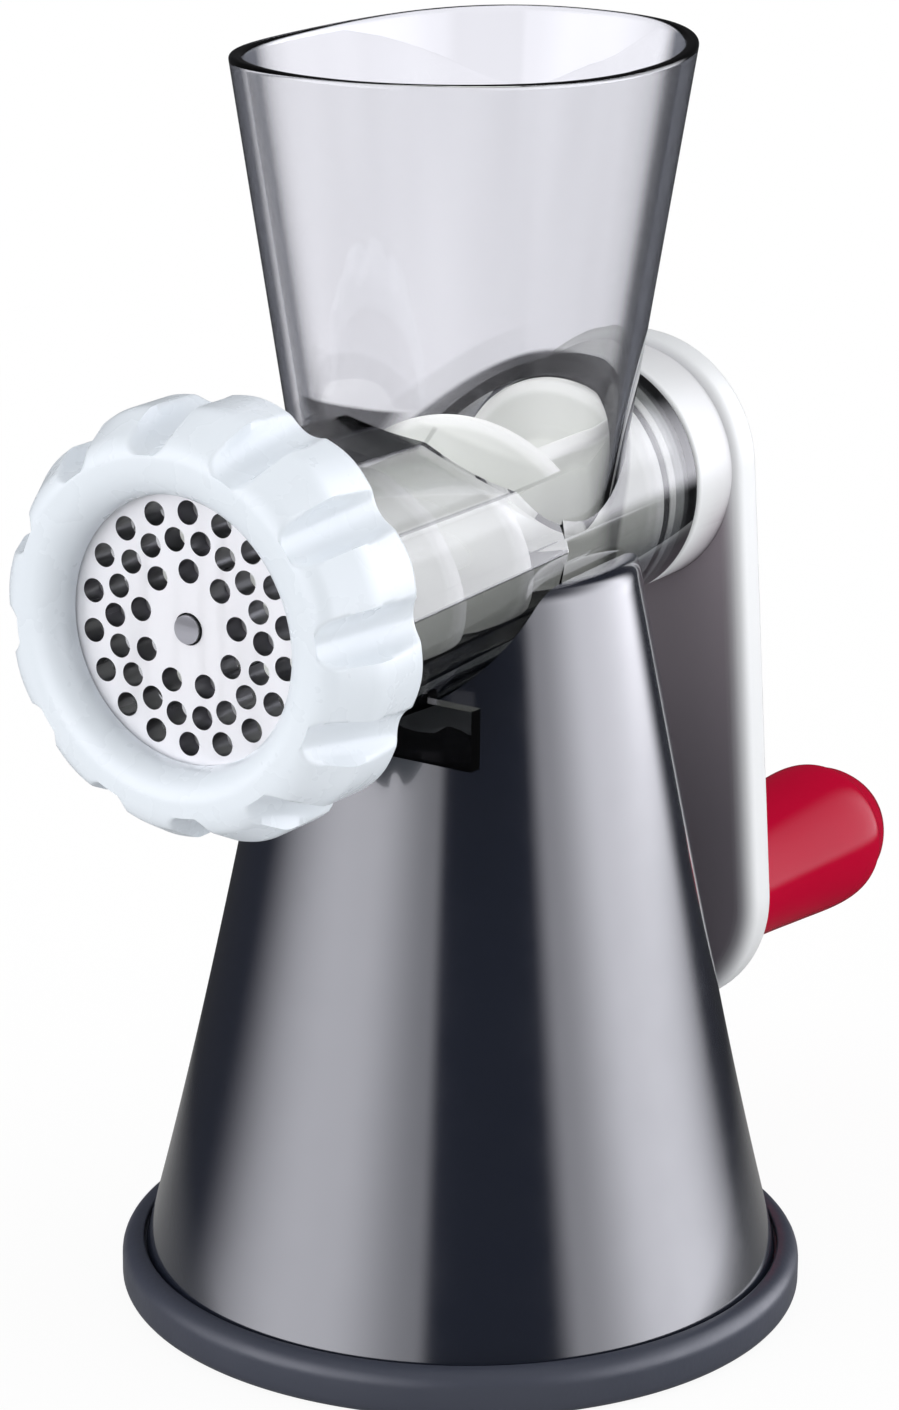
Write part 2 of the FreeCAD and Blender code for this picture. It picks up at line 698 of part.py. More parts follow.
def thread_ridge(body, root, crest, start_y, turns):
    """A trapezoid ridge wound on the auger axis, from root to crest radius."""
    sketch = new_sketch(body, "ridge_profile", "XY_Plane")
    half = S.thread_width / 2
    tip = S.thread_width / 4
    closed_outline(sketch, [
        (root, start_y - half), (crest, start_y - tip), (crest, start_y + tip), (root, start_y + half),
    ])
    ridge = body.newObject("PartDesign::AdditiveHelix", "ridge")
    ridge.Profile = sketch
    ridge.ReferenceAxis = (sketch, ["V_Axis"])
    ridge.Mode = "pitch-turns-angle"
    bind(ridge, "Pitch", S.thread_lead)
    bind(ridge, "Turns", turns)


def make_barrel_thread():
    body = new_body("barrel_thread")
    thread_ridge(body, S.socket_radius - S.thread_root, S.socket_radius + S.thread_depth,
                 THREAD_START, S.barrel_thread_turns)
    on_axis(body, S.thread_rest)
    return body


FACETS = 12


def facet_corners(radius):
    corners = []
    for index in range(FACETS):
        angle = 2 * math.pi * index / FACETS
        corners.append((radius * math.cos(angle), radius * math.sin(angle)))
    return corners


def make_barrel_outside():
    """Faceted front, round tapered rear and threaded end."""
    faceted = new_body("barrel_facets")
    sketch = new_sketch(faceted, "facet_outline", "XZ_Plane", -LAND_Y)
    closed_outline(sketch, facet_corners(barrel_radius(LAND_Y) + S.facet_proud))
    far = new_sketch(faceted, "facet_end", "XZ_Plane", -FACET_END_Y)
    closed_outline(far, facet_corners(barrel_radius(FACET_END_Y) + S.facet_proud))
    loft = faceted.newObject("PartDesign::AdditiveLoft", "facets")
    loft.Profile = sketch
    loft.Sections = [far]
    loft.Ruled = True
    on_axis(faceted)

    turned = new_body("barrel_turned")
    revolve(turned, "tube", [
        (0, MOUTH_Y), (S.socket_radius, MOUTH_Y), (S.socket_radius, LAND_Y),
        (barrel_radius(LAND_Y), LAND_Y), (barrel_radius(LAND_Y), LAND_Y + S.facet_proud),
        (barrel_radius(FACET_END_Y) - S.facet_proud, FACET_END_Y),
        (barrel_radius(FACET_END_Y), FACET_END_Y), (S.barrel_rear_radius, RIM_Y), (0, RIM_Y),
    ])
    on_axis(turned)
    return [faceted, turned]


def make_barrel_bore():
    body = new_body("barrel_bore")
    socket = S.plate_radius + S.plate_fit
    overrun = 1.0
    revolve(body, "bore", [
        (0, MOUTH_Y - overrun), (socket, MOUTH_Y - overrun), (socket, SHOULDER_Y),
        (S.bore_front_radius, SHOULDER_Y), (S.bore_rear_radius, RIM_Y),
        (S.bore_rear_radius, RIM_Y + overrun), (0, RIM_Y + overrun),
    ])
    on_axis(body)
    return body


def box(name, low, high):
    item = part_object("Part::Box", name,
                       Length=high[0] - low[0], Width=high[1] - low[1], Height=high[2] - low[2])
    place(item, low[0], low[1], low[2])
    return item


def make_hopper_body():
    """Outside of hopper, barrel and keel, less the bore, the hopper's inside, with the plate's nub."""
    half = S.keel_half_width
    middle = S.axis_height
    hidden = (S.barrel_rear_radius + S.bore_rear_radius) / 2
    face = -S.stop_reach
    back = face + S.stop_thick
    stop = box("stop_plate", (-S.stop_half_width, face, STOP_LOW), (S.stop_half_width, back, STOP_HIGH))
    neck = box("stop_neck", (-S.neck_half_width, face, STOP_LOW),
               (S.neck_half_width, back, middle - S.neck_half_width))
    keel = box("keel", (-half, face, STOP_LOW), (half, S.keel_rear, middle - hidden))
    outside = joined("Part::MultiFuse", "moulding_outside",
                     make_barrel_outside() + [hopper_solid("hopper_outside", 0.0, 0.0), stop, neck, keel])
    inside = joined("Part::MultiFuse", "moulding_inside",
                    [make_barrel_bore(), hopper_solid("hopper_inside", number(S.hopper_wall), 1.0)])
    shell = cut("moulding_shell", outside, inside)
    nub = part_object("Part::Cylinder", "plate_nub", Radius=S.key_radius, Height=SHOULDER_Y - MOUTH_Y)
    along_y(nub)
    place(nub, 0, MOUTH_Y, S.axis_height - S.plate_radius)
    return joined("Part::MultiFuse", "hopper_body", [shell, nub, make_barrel_thread()])


# Outlet: hole plate and ring nut

# name, radius, number of holes and angle of the first hole in degrees
PLATE_ROWS = (
    ("inner", S.plate_inner_pitch, 9, 89.4),
    ("middle", S.plate_middle_pitch, 18, 120.3),
    ("outer", S.plate_outer_pitch, 18, 130.0),
)


def make_hole_plate():
    body = new_body("hole_plate")
    sketch = new_sketch(body, "disc_outline", "XZ_Plane", S.plate_reach)
    circle(sketch, 0, 0, S.plate_radius)
    circle(sketch, 0, 0, S.plate_centre_hole)
    pad(body, "disc", sketch, S.plate_thick, reverse=True)
    notch = new_sketch(body, "key_notch", "XZ_Plane", S.plate_reach)
    circle(notch, 0, -S.plate_radius, S.key_radius + S.key_fit)
    pocket(body, "notch", notch, S.plate_thick)
    for name, pitch, count, first in PLATE_ROWS:
        hole = new_sketch(body, name + "_hole", "XZ_Plane", S.plate_reach)
        angle = math.radians(first)
        circle(hole, pitch * math.cos(angle), pitch * math.sin(angle), S.plate_hole)
        drill = pocket(body, name + "_drill", hole, S.plate_thick)
        polar(body, name + "_row", drill, count, "Y_Axis")
    on_axis(body)
    return body


def make_outlet_ring():
    body = new_body("outlet_ring")
    lip_back = -(S.plate_reach + S.ring_play)
    bore = S.socket_radius + S.thread_depth + S.thread_fit
    face = -S.ring_face
    revolve(body, "ring", [
        (S.ring_mouth, lip_back), (S.ring_mouth, face + S.ring_mouth_flare, -S.ring_mouth_flare * QUARTER_SAG),
        (S.ring_mouth + S.ring_mouth_flare, face), (S.ring_flat, face, -S.ring_crown),
        (S.ring_radius, face + S.ring_bevel), (S.ring_radius, -S.ring_back - S.ring_mouth_flare),
        (S.ring_radius - S.ring_mouth_flare, -S.ring_back), (bore, -S.ring_back), (bore, lip_back),
    ])
    scallop = new_sketch(body, "scallop_outline", "XZ_Plane", S.ring_face)
    circle(scallop, 0, S.ring_radius + S.ring_scallop - S.ring_scallop_depth, S.ring_scallop)
    dip = pocket(body, "scallop", scallop, S.ring_face - S.ring_back)
    polar(body, "scallops", dip, S.ring_lobes, "Y_Axis")
    between_ridges = S.thread_lead / 2 - S.thread_lead * (S.thread_rest + S.ring_rest) / 360
    thread_ridge(body, bore + S.thread_root, S.socket_radius + S.thread_fit,
                 THREAD_START + between_ridges, S.ring_thread_turns)
    on_axis(body, -S.ring_rest)
    return body


# Auger train, which turns with the crank

FLIGHTS = 2
BLADES = 4


def make_auger():
    body = new_body("auger")
    front = -S.flight_front
    rear = front + S.flight_length
    edge = bore_radius(DISC_REAR_Y) - S.disc_fit
    groove = S.disc_front + S.disc_thick / 2
    groove_floor = bore_radius(groove) - S.seal_fit - 2 * S.seal_section
    half = S.seal_section
    revolve(body, "core", [
        (0, front), (S.core_front_radius, front), (S.core_rear_radius, S.disc_front), (edge, S.disc_front),
        (edge, groove - half), (groove_floor, groove - half), (groove_floor, groove + half),
        (edge, groove + half), (edge, DISC_REAR_Y), (0, DISC_REAR_Y),
    ])
    profile = new_sketch(body, "flight_profile", "XY_Plane")
    thick = S.flight_thick
    inner = S.core_front_radius / 2
    tip = bore_radius(front) - S.flight_fit
    rectangle(profile, inner, front, tip, front + thick)
    flight = body.newObject("PartDesign::AdditiveHelix", "flight")
    flight.Profile = profile
    flight.ReferenceAxis = (profile, ["V_Axis"])
    flight.Mode = "pitch-height-angle"
    bind(flight, "Pitch", S.flight_lead)
    bind(flight, "Height", S.flight_length - thick)
    slope = (number(S.bore_rear_radius) - number(S.bore_front_radius)) / number(RIM_Y - SHOULDER_Y)
    flight.Angle = math.degrees(math.atan(slope))
    polar(body, "flights", flight, FLIGHTS, "Y_Axis")
    web = new_sketch(body, "web_profile", "XY_Plane")
    turn = (S.flight_length - thick) / S.flight_lead * 360
    web.AttachmentOffset = Placement(Vector(), Rotation(Vector(0, 1, 0), number(turn)))
    bind(web, "AttachmentOffset.Rotation.Angle", turn)
    web_tip = bore_radius(S.disc_front) - S.flight_fit
    rectangle(web, inner, rear - thick, web_tip, S.disc_front)
    blade = pad(body, "web", web, thick, midplane=True)
    polar(body, "webs", blade, FLIGHTS, "Y_Axis")
    drive_sketch = new_sketch(body, "drive_outline", "XZ_Plane", -DISC_REAR_Y)
    drive_turn = S.auger_rest + S.arm_lean
    drive_sketch.AttachmentOffset.Rotation = Rotation(Vector(0, 0, 1), number(drive_turn))
    bind(drive_sketch, "AttachmentOffset.Rotation.Angle", drive_turn)
    side = S.drive_half
    rectangle(drive_sketch, -side, -side, side, side)
    pad(body, "drive", drive_sketch, S.boss_front + DRIVE_DEPTH - DISC_REAR_Y - S.drive_fit, reverse=True)
    tap = new_sketch(body, "screw_hole", "XZ_Plane", -(S.boss_front + DRIVE_DEPTH - S.drive_fit))
    circle(tap, 0, 0, S.screw_radius)
    pocket(body, "screw_way", tap, S.screw_depth, reverse=True)
    root = new_sketch(body, "pin_hole", "XZ_Plane", S.flight_front)
    circle(root, 0, 0, S.pin_root_radius)
    pocket(body, "pin_way", root, S.pin_root)
    on_axis(body, S.auger_rest)
    return body


def make_auger_pin():
    body = new_body("auger_pin")
    square = new_sketch(body, "shank_outline", "XZ_Plane", S.flight_front)
    side = S.shank_half
    rectangle(square, -side, -side, side, side)
    knife_back = -SHOULDER_Y - S.knife_play
    pad(body, "shank", square, knife_back - S.flight_front)
    nose = new_sketch(body, "nose_outline", "XZ_Plane", S.flight_front)
    circle(nose, 0, 0, S.pin_radius)
    pad(body, "nose", nose, S.plate_reach + S.pin_proud - S.flight_front)
    root = new_sketch(body, "root_outline", "XZ_Plane", S.flight_front)
    circle(root, 0, 0, S.pin_root_radius)
    pad(body, "root", root, S.pin_root, reverse=True)
    on_axis(body)
    return body


def make_cross_knife():
    body = new_body("cross_knife")
    front = S.plate_reach - S.plate_thick - S.knife_play
    hub = new_sketch(body, "hub_outline", "XZ_Plane", front)
    circle(hub, 0, 0, S.knife_hub)
    pad(body, "hub", hub, S.knife_thick, reverse=True)
    blade = new_sketch(body, "blade_outline", "XZ_Plane", front)
    root = S.blade_root / 2
    tip = S.blade_tip / 2
    closed_outline(blade, [(-root, 0), (root, 0), (tip, S.knife_radius), (-tip, S.knife_radius)])
    first = pad(body, "blade", blade, S.knife_thick, reverse=True)
    polar(body, "blades", first, BLADES, "Y_Axis")
    square = new_sketch(body, "shank_hole", "XZ_Plane", front)
    side = S.shank_half + S.shank_fit
    rectangle(square, -side, -side, side, side)
    pocket(body, "shank_way", square, S.knife_thick)
    on_axis(body)
    return body


def make_seal_ring():
    groove = S.disc_front + S.disc_thick / 2
    ring = part_object("Part::Torus", "seal_ring",
                       Radius1=bore_radius(groove) - S.seal_fit - S.seal_section, Radius2=S.seal_section)
    along_y(ring)
    place(ring, 0, groove, S.axis_height)
    return ring


# Crank: arm with boss, inlaid panel, screw and cap

def make_crank_arm():
    body = new_body("crank_arm")
    outline = new_sketch(body, "arm_outline", "XZ_Plane", -ARM_INNER)
    slot_outline(outline, S.arm_half_width, S.arm_length)
    arm = pad(body, "arm", outline, S.arm_thick, reverse=True)
    far = number(ARM_OUTER) - 0.05
    near = number(ARM_INNER) + 0.05
    fillet(body, "arm_edges", arm, lambda spot: spot.y > far or spot.y < near, S.arm_round)
    recess = new_sketch(body, "panel_recess", "XZ_Plane", -ARM_INNER)
    slot_outline(recess, S.arm_half_width - S.panel_margin, S.arm_length)
    pocket(body, "recess", recess, S.panel_thick)
    boss = new_sketch(body, "boss_outline", "XZ_Plane", -S.boss_front)
    circle(boss, 0, 0, S.boss_radius)
    pad(body, "boss", boss, ARM_INNER - S.boss_front + S.arm_thick / 2, reverse=True)
    socket = new_sketch(body, "drive_socket", "XZ_Plane", -S.boss_front)
    side = S.drive_half + S.drive_fit
    rectangle(socket, -side, -side, side, side)
    pocket(body, "socket", socket, DRIVE_DEPTH)
    screw = new_sketch(body, "screw_hole", "XZ_Plane", -S.boss_front)
    circle(screw, 0, 0, S.screw_radius + S.screw_fit)
    pocket(body, "screw_way", screw, ARM_OUTER - S.boss_front)
    head = new_sketch(body, "head_seat", "XZ_Plane", -(ARM_OUTER - HEAD_DEPTH))
    circle(head, 0, 0, S.cap_radius + S.screw_fit)
    pocket(body, "head_recess", head, HEAD_DEPTH)
    spindle = new_sketch(body, "spindle_hole", "XZ_Plane", -(ARM_INNER + S.panel_thick))
    circle(spindle, 0, -KNOB_OFFSET, S.spindle_radius)
    pocket(body, "spindle_way", spindle, S.arm_thick)
    on_axis(body, -S.arm_lean)
    return body


def make_crank_panel():
    body = new_body("crank_panel")
    face = ARM_INNER + S.panel_fit
    sketch = new_sketch(body, "panel_shape", "XZ_Plane", -face)
    slot_outline(sketch, S.arm_half_width - S.panel_margin - S.panel_fit, S.arm_length)
    pad(body, "panel", sketch, S.panel_thick - S.panel_fit, reverse=True)
    around_boss = new_sketch(body, "boss_cut", "XZ_Plane", -face)
    circle(around_boss, 0, 0, S.boss_radius + S.panel_fit)
    pocket(body, "boss_way", around_boss, S.panel_thick)
    on_axis(body, -S.arm_lean)
    return body


def make_crank_screw():
    body = new_body("crank_screw")
    drive_end = S.boss_front + DRIVE_DEPTH - S.drive_fit
    head_seat = ARM_OUTER - HEAD_DEPTH
    revolve(body, "screw", [
        (0, drive_end - S.screw_depth), (S.screw_radius, drive_end - S.screw_depth),
        (S.screw_radius, head_seat), (S.screw_head_radius, head_seat),
        (S.screw_head_radius, head_seat + S.screw_head_thick), (0, head_seat + S.screw_head_thick),
    ])
    on_axis(body)
    return body


def make_screw_cap():
    body = new_body("screw_cap")
    seat = ARM_OUTER - HEAD_DEPTH
    under = seat + S.screw_head_thick
    top = ARM_OUTER + S.cap_proud
    room = S.screw_head_radius + S.screw_fit
    revolve(body, "cap", [
        (0, under), (room, under), (room, seat), (S.cap_radius, seat), (S.cap_radius, ARM_OUTER),
        (S.cap_radius - S.cap_proud, top), (0, top),
    ])
    on_axis(body)
    return body


# Knob, which turns on its spindle

def on_knob_axis(body):
    angle = math.radians(number(S.arm_lean))
    place(body, KNOB_OFFSET * math.sin(angle), 0, S.axis_height - KNOB_OFFSET * math.cos(angle))


KNOB_FOOT = ARM_OUTER + S.spindle_flange_thick + S.knob_play
HEAD_SEAT = KNOB_FOOT + S.knob_seat


def make_knob_spindle():
    body = new_body("knob_spindle")
    root = ARM_INNER + S.panel_thick
    collar_top = ARM_OUTER + S.spindle_flange_thick
    head = HEAD_SEAT + S.knob_play
    revolve(body, "spindle", [
        (0, root), (S.spindle_radius, root), (S.spindle_radius, ARM_OUTER), (S.spindle_flange, ARM_OUTER),
        (S.spindle_flange, collar_top), (S.spindle_radius, collar_top), (S.spindle_radius, head),
        (S.spindle_head, head), (S.spindle_head, head + S.spindle_head_thick),
        (0, head + S.spindle_head_thick),
    ])
    on_knob_axis(body)
    return body


def make_knob_grip():
    body = new_body("knob_grip")
    bore = S.spindle_radius + S.knob_fit
    waist = KNOB_FOOT + S.knob_waist
    tip = waist + S.knob_dome
    revolve(body, "grip", [
        (bore, KNOB_FOOT), (S.knob_base_radius, KNOB_FOOT, -S.knob_swell),
        (S.knob_radius, waist, -S.knob_shoulder_round),
        (S.knob_shoulder_radius, waist + S.knob_shoulder, -S.knob_crown), (S.knob_plug_radius, tip),
        (S.knob_plug_radius, HEAD_SEAT), (bore, HEAD_SEAT),
    ])
    on_knob_axis(body)
    return body


def make_knob_plug():
    body = new_body("knob_plug")
    tip = KNOB_FOOT + S.knob_waist + S.knob_dome
    low = HEAD_SEAT + S.knob_play + S.spindle_head_thick + S.knob_play
    revolve(body, "plug", [
        (0, low), (S.knob_plug_radius, low), (S.knob_plug_radius, tip),
        (S.plug_flat, tip + S.plug_crown), (0, tip + S.plug_crown),
    ])
    on_knob_axis(body)
    return body


def make_all():
    return [
        make_foot_ring(), make_base_cone(), make_inner_floor(), make_floor_screws(), make_suction_cup(),
        make_pull_stud(), make_suction_lever(), make_hopper_body(), make_hole_plate(), make_outlet_ring(),
        make_auger(), make_auger_pin(), make_cross_knife(), make_seal_ring(), make_crank_arm(),
        make_crank_panel(), make_crank_screw(), make_screw_cap(), make_knob_spindle(), make_knob_grip(),
        make_knob_plug(),
    ]


def check_document(pieces):
    for item in doc.Objects:
        bad = [word for word in item.State if word in ("Invalid", "Error")]
        if bad:
            raise RuntimeError("%s did not build: %s" % (item.Label, item.getStatusString()))
    for piece in pieces:
        if piece.Shape.isNull() or not piece.Shape.isValid():
            raise RuntimeError("%s has no valid shape" % piece.Label)


def write_parts(pieces):
    os.makedirs("parts", exist_ok=True)
    for piece in pieces:
        piece.Shape.exportStep("parts/%s.step" % piece.Label)
        print("%-16s solids %d  volume %10.1f" % (piece.Label, len(piece.Shape.Solids), piece.Shape.Volume))


all_pieces = make_all()
doc.recompute()
check_document(all_pieces)
write_parts(all_pieces)
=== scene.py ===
# %% [markdown]
# # Hand crank meat grinder
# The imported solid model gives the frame: every piece below is built where its solid lies and rides on the
# same body, so the crank, the knob, the ring and the suction lever still move.

# %% Load the frame
from math import ceil, copysign, cos, hypot, pi, radians, sin, sqrt, tan

import bmesh
import bpy
import numpy as np
from mathutils import Matrix, Vector


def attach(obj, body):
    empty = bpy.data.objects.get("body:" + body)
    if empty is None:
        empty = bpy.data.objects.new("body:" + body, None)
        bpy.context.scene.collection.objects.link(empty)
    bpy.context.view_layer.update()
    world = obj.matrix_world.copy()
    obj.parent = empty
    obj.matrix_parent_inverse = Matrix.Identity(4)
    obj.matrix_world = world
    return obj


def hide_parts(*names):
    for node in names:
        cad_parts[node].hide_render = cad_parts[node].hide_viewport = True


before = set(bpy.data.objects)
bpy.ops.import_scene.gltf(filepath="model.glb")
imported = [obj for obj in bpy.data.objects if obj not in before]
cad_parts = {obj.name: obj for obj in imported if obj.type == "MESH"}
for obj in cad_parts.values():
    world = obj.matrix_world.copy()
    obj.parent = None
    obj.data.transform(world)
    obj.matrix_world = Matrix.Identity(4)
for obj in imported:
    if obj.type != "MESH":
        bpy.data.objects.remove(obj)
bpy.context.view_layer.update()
MM = 0.001
AXIS_Z = 154.9


def full_turn(count):
    """Angles spread evenly round a circle."""
    return np.linspace(0, 2 * pi, count, endpoint=False)


def share_between(value, low, high):
    """0 at low and 1 at high, and held there beyond them."""
    return min(max((value - low) / (high - low), 0), 1)


def soft_step(share):
    """Ease a share from 0 to 1 at both ends."""
    return share * share * (3 - 2 * share)


def add_object(name, data):
    obj = bpy.data.objects.new(name, data)
    bpy.context.collection.objects.link(obj)
    return obj


# %% [markdown]
# ## Camera
# The photograph looks down at the outlet from the right. The camera is turned about a point near the stand's
# axis, by an azimuth, an elevation and a small roll, and its lens is long, so the object hardly tapers. The
# numbers could be found by trial. They were solved from the photograph's round edges, because the tilt of a
# circle tells the direction that it is seen from.

# %% Camera
AZIMUTH = radians(33.153)
ELEVATION = radians(17.256)
ROLL = radians(0.607)
TARGET = Vector((-3.955, 0, 117.696)) * MM
DISTANCE = 889.1 * MM
LENS = 118.14

level_reach = cos(ELEVATION)
back = Vector((sin(AZIMUTH) * level_reach, -cos(AZIMUTH) * level_reach, sin(ELEVATION)))
level = Vector((cos(AZIMUTH), sin(AZIMUTH), 0))
upward = back.cross(level)
right = level * cos(ROLL) + upward * sin(ROLL)
top = back.cross(right)
camera = add_object("photo_camera", bpy.data.cameras.new("photo_camera"))
camera.data.lens = LENS
camera.data.sensor_width = 36
camera.data.clip_start = 0.05
facing = Matrix((right, top, back)).transposed().to_4x4()
camera.matrix_world = Matrix.Translation(TARGET + back * DISTANCE) @ facing
bpy.context.scene.camera = camera
print("camera at", [round(value, 3) for value in camera.location])

# %% [markdown]
# ## Studio
# A product picture like this is lit by two broad soft boxes beside the camera and a white surround. Area
# lamps could do it. Here the boxes are drawn in the world by direction, because they then light the object
# and also show as the long soft bands on the glossy cone, with edges set in degrees. Between them the studio
# is dark, which keeps the reflections deep. What the camera sees past the object is plain white, and so is
# what shows through clear plastic, up to the top of the white backdrop.

# %% Node helpers
def new_node(tree, kind, **settings):
    node = tree.nodes.new(kind)
    for name, value in settings.items():
        setattr(node, name, value)
    return node


def feed(tree, socket, value):
    """Set a socket to a plain value, or link another node's output to it."""
    if isinstance(value, bpy.types.NodeSocket):
        tree.links.new(value, socket)
    else:
        socket.default_value = value


def filled(tree, node, *values):
    """Feed a node's inputs in their order, and return its first output."""
    for socket, value in zip(node.inputs, values):
        feed(tree, socket, value)
    return node.outputs[0]


def result_of(tree, kind, **inputs):
    """Make a node, feed its inputs by name, with _ for a space, and return its first output."""
    node = new_node(tree, kind)
    for name, value in inputs.items():
        feed(tree, node.inputs[name.replace("_", " ")], value)
    return node.outputs[0]


def math_node(tree, operation, *values):
    return filled(tree, new_node(tree, "ShaderNodeMath", operation=operation), *values)


def ramp_between(tree, value, start, end):
    """0 at start and 1 at end, with a soft change between them."""
    node = new_node(tree, "ShaderNodeMapRange", interpolation_type="SMOOTHSTEP")
    return filled(tree, node, value, start, end, 0.0, 1.0)


def degree_ramp(tree, value, start, end):
    return ramp_between(tree, value, radians(start), radians(end))


def mix_values(tree, factor, first, second):
    node = new_node(tree, "ShaderNodeMix", data_type="FLOAT")
    for index, value in zip((0, 2, 3), (factor, first, second)):
        feed(tree, node.inputs[index], value)
    return node.outputs[0]


def mix_shaders(tree, factor, first, second):
    return filled(tree, new_node(tree, "ShaderNodeMixShader"), factor, first, second)


def product(tree, first, *others):
    for other in others:
        first = math_node(tree, "MULTIPLY", first, other)
    return first


def total(tree, first, *others):
    for other in others:
        first = math_node(tree, "ADD", first, other)
    return first


def layer(tree, under, factor, colour):
    """Lay a colour over another one by a factor."""
    mix = new_node(tree, "ShaderNodeMix", data_type="RGBA")
    feed(tree, mix.inputs[0], factor)
    feed(tree, mix.inputs[6], under)
    mix.inputs[7].default_value = (*colour, 1)
    return mix.outputs[2]


def object_place(tree):
    """The shaded point in the piece's own coordinates."""
    return new_node(tree, "ShaderNodeTexCoord").outputs["Object"]


def split_place(tree):
    """The X, Y and Z of that point."""
    spot = new_node(tree, "ShaderNodeSeparateXYZ")
    tree.links.new(object_place(tree), spot.inputs[0])
    return tuple(spot.outputs)


print("node helpers ready")

# %% Soft boxes
BOX_FOOT = (-13, -4)
BOX_TOP = (62, 16)
NEAR_GLOW = 0.42


def softbox(outer, inner):
    """A box of light, with edges in degrees: outer is its far edge from dark to full, and inner its near
    edge from dark over the near glow to full."""
    far_side = degree_ramp(sky, azimuth, *outer)
    near_edge = degree_ramp(sky, azimuth, inner[0], inner[1])
    near_side = mix_values(sky, degree_ramp(sky, azimuth, inner[1], inner[2]), NEAR_GLOW, 1.0)
    along = product(sky, degree_ramp(sky, height, *BOX_FOOT), degree_ramp(sky, height, *BOX_TOP))
    return product(sky, far_side, near_edge, near_side, along)


world = bpy.data.worlds.new("studio")
world.use_nodes = True
bpy.context.scene.world = world
sky = world.node_tree
sky.nodes.clear()
direction = new_node(sky, "ShaderNodeSeparateXYZ")
sky.links.new(new_node(sky, "ShaderNodeTexCoord").outputs["Generated"], direction.inputs[0])
azimuth = math_node(sky, "ARCTAN2", direction.outputs["Y"], direction.outputs["X"])
height = math_node(sky, "ARCSINE", direction.outputs["Z"])

OVERHEAD_EDGE = (35, 75)
BACKDROP_TOP = (6, 14)
WHITE = (1, 1, 1, 1)
LIT = {"ambient": 0.46, "left": 2.3, "right": 2.1, "overhead": 0.8}
MIRRORED = {"ambient": 0.035, "left": 3.6, "right": 4.6, "overhead": 0.25}
INSIDE_LEVEL = 1.5
MIRROR_TINT = (0.975, 0.975, 1.05)
left_box = softbox((-178, -118), (-66, -73, -106))
right_box = softbox((86, 66), (-25, -13, 20))
overhead = degree_ramp(sky, height, *OVERHEAD_EDGE)


def studio_level(levels):
    lamps = (("left", left_box), ("right", right_box), ("overhead", overhead))
    return total(sky, levels["ambient"], *[product(sky, lamp, levels[name]) for name, lamp in lamps])


print("soft boxes drawn")

# %% World
path = new_node(sky, "ShaderNodeLightPath")
mirrored = studio_level(MIRRORED)
glow = mix_values(sky, path.outputs["Is Glossy Ray"], studio_level(LIT), mirrored)
through = mix_values(sky, degree_ramp(sky, height, *BACKDROP_TOP), 1.0, mirrored)
lights_inside = math_node(sky, "MINIMUM", path.outputs["Diffuse Depth"], 1.0)
through = mix_values(sky, lights_inside, through, INSIDE_LEVEL)
glow = mix_values(sky, path.outputs["Is Transmission Ray"], glow, through)
glow = mix_values(sky, path.outputs["Is Camera Ray"], glow, 1.0)
tint = layer(sky, WHITE, path.outputs["Is Glossy Ray"], MIRROR_TINT)
background = result_of(sky, "ShaderNodeBackground", Color=tint, Strength=glow)
sky.links.new(background, new_node(sky, "ShaderNodeOutputWorld").inputs["Surface"])
bpy.context.scene.view_settings.view_transform = "Standard"
print("world nodes:", len(sky.nodes))

# %% [markdown]
# The floor is a pale sheet that keeps the shadow under the foot. A plain white plane would do for that, but
# its far edge would show in the cone. So it is a disc whose finish fades with distance, sooner for mirrors
# than for the camera, and looks nearly white to the camera and through clear plastic.

# %% Floor
FLOOR_RADIUS = 0.9
FLOOR_WHITE = 0.9
FLOOR_SHOWN = 0.92
FLOOR_MIRRORED = 0.2
FAR_FADE = (0.45, 1.0)
NEAR_FADE = (0.1, 0.22)

floor_look = bpy.data.materials.new("pale_floor")
floor_look.use_nodes = True
tree = floor_look.node_tree
tree.nodes.clear()
path = new_node(tree, "ShaderNodeLightPath")
seen = math_node(tree, "MAXIMUM", path.outputs["Is Glossy Ray"], path.outputs["Is Transmission Ray"])
seen = math_node(tree, "MAXIMUM", path.outputs["Is Camera Ray"], seen)
sheet = result_of(tree, "ShaderNodeBsdfDiffuse", Color=(FLOOR_WHITE, FLOOR_WHITE, FLOOR_WHITE, 1))
strength = mix_values(tree, path.outputs["Is Glossy Ray"], 1.0, FLOOR_MIRRORED)
white = result_of(tree, "ShaderNodeEmission", Strength=strength)
shown = mix_shaders(tree, product(tree, seen, FLOOR_SHOWN), sheet, white)
place = new_node(tree, "ShaderNodeVectorMath", operation="LENGTH")
tree.links.new(object_place(tree), place.inputs[0])
fades = [ramp_between(tree, place.outputs["Value"], *[FLOOR_RADIUS * share for share in shares])
         for shares in (FAR_FADE, NEAR_FADE)]
gone = mix_values(tree, path.outputs["Is Glossy Ray"], *fades)
faded = mix_shaders(tree, gone, shown, result_of(tree, "ShaderNodeBsdfTransparent"))
tree.links.new(faded, new_node(tree, "ShaderNodeOutputMaterial").inputs["Surface"])

floor_mesh = bpy.data.meshes.new("floor")
corners = [(cos(turn) * FLOOR_RADIUS, sin(turn) * FLOOR_RADIUS, 0) for turn in full_turn(64)]
floor_mesh.from_pydata(corners, [], [list(range(len(corners)))])
floor_mesh.materials.append(floor_look)
floor = add_object("floor", floor_mesh)
print("floor radius", FLOOR_RADIUS)

# %% [markdown]
# ## Finishes
# Moulded plastic and rubber are never quite even. Pictures of surfaces could show that, but they stretch and
# repeat. Every finish here is a node tree on Object coordinates instead: a base colour with a slight drift, a
# roughness that wanders a little, and a fine bump for the moulded skin.

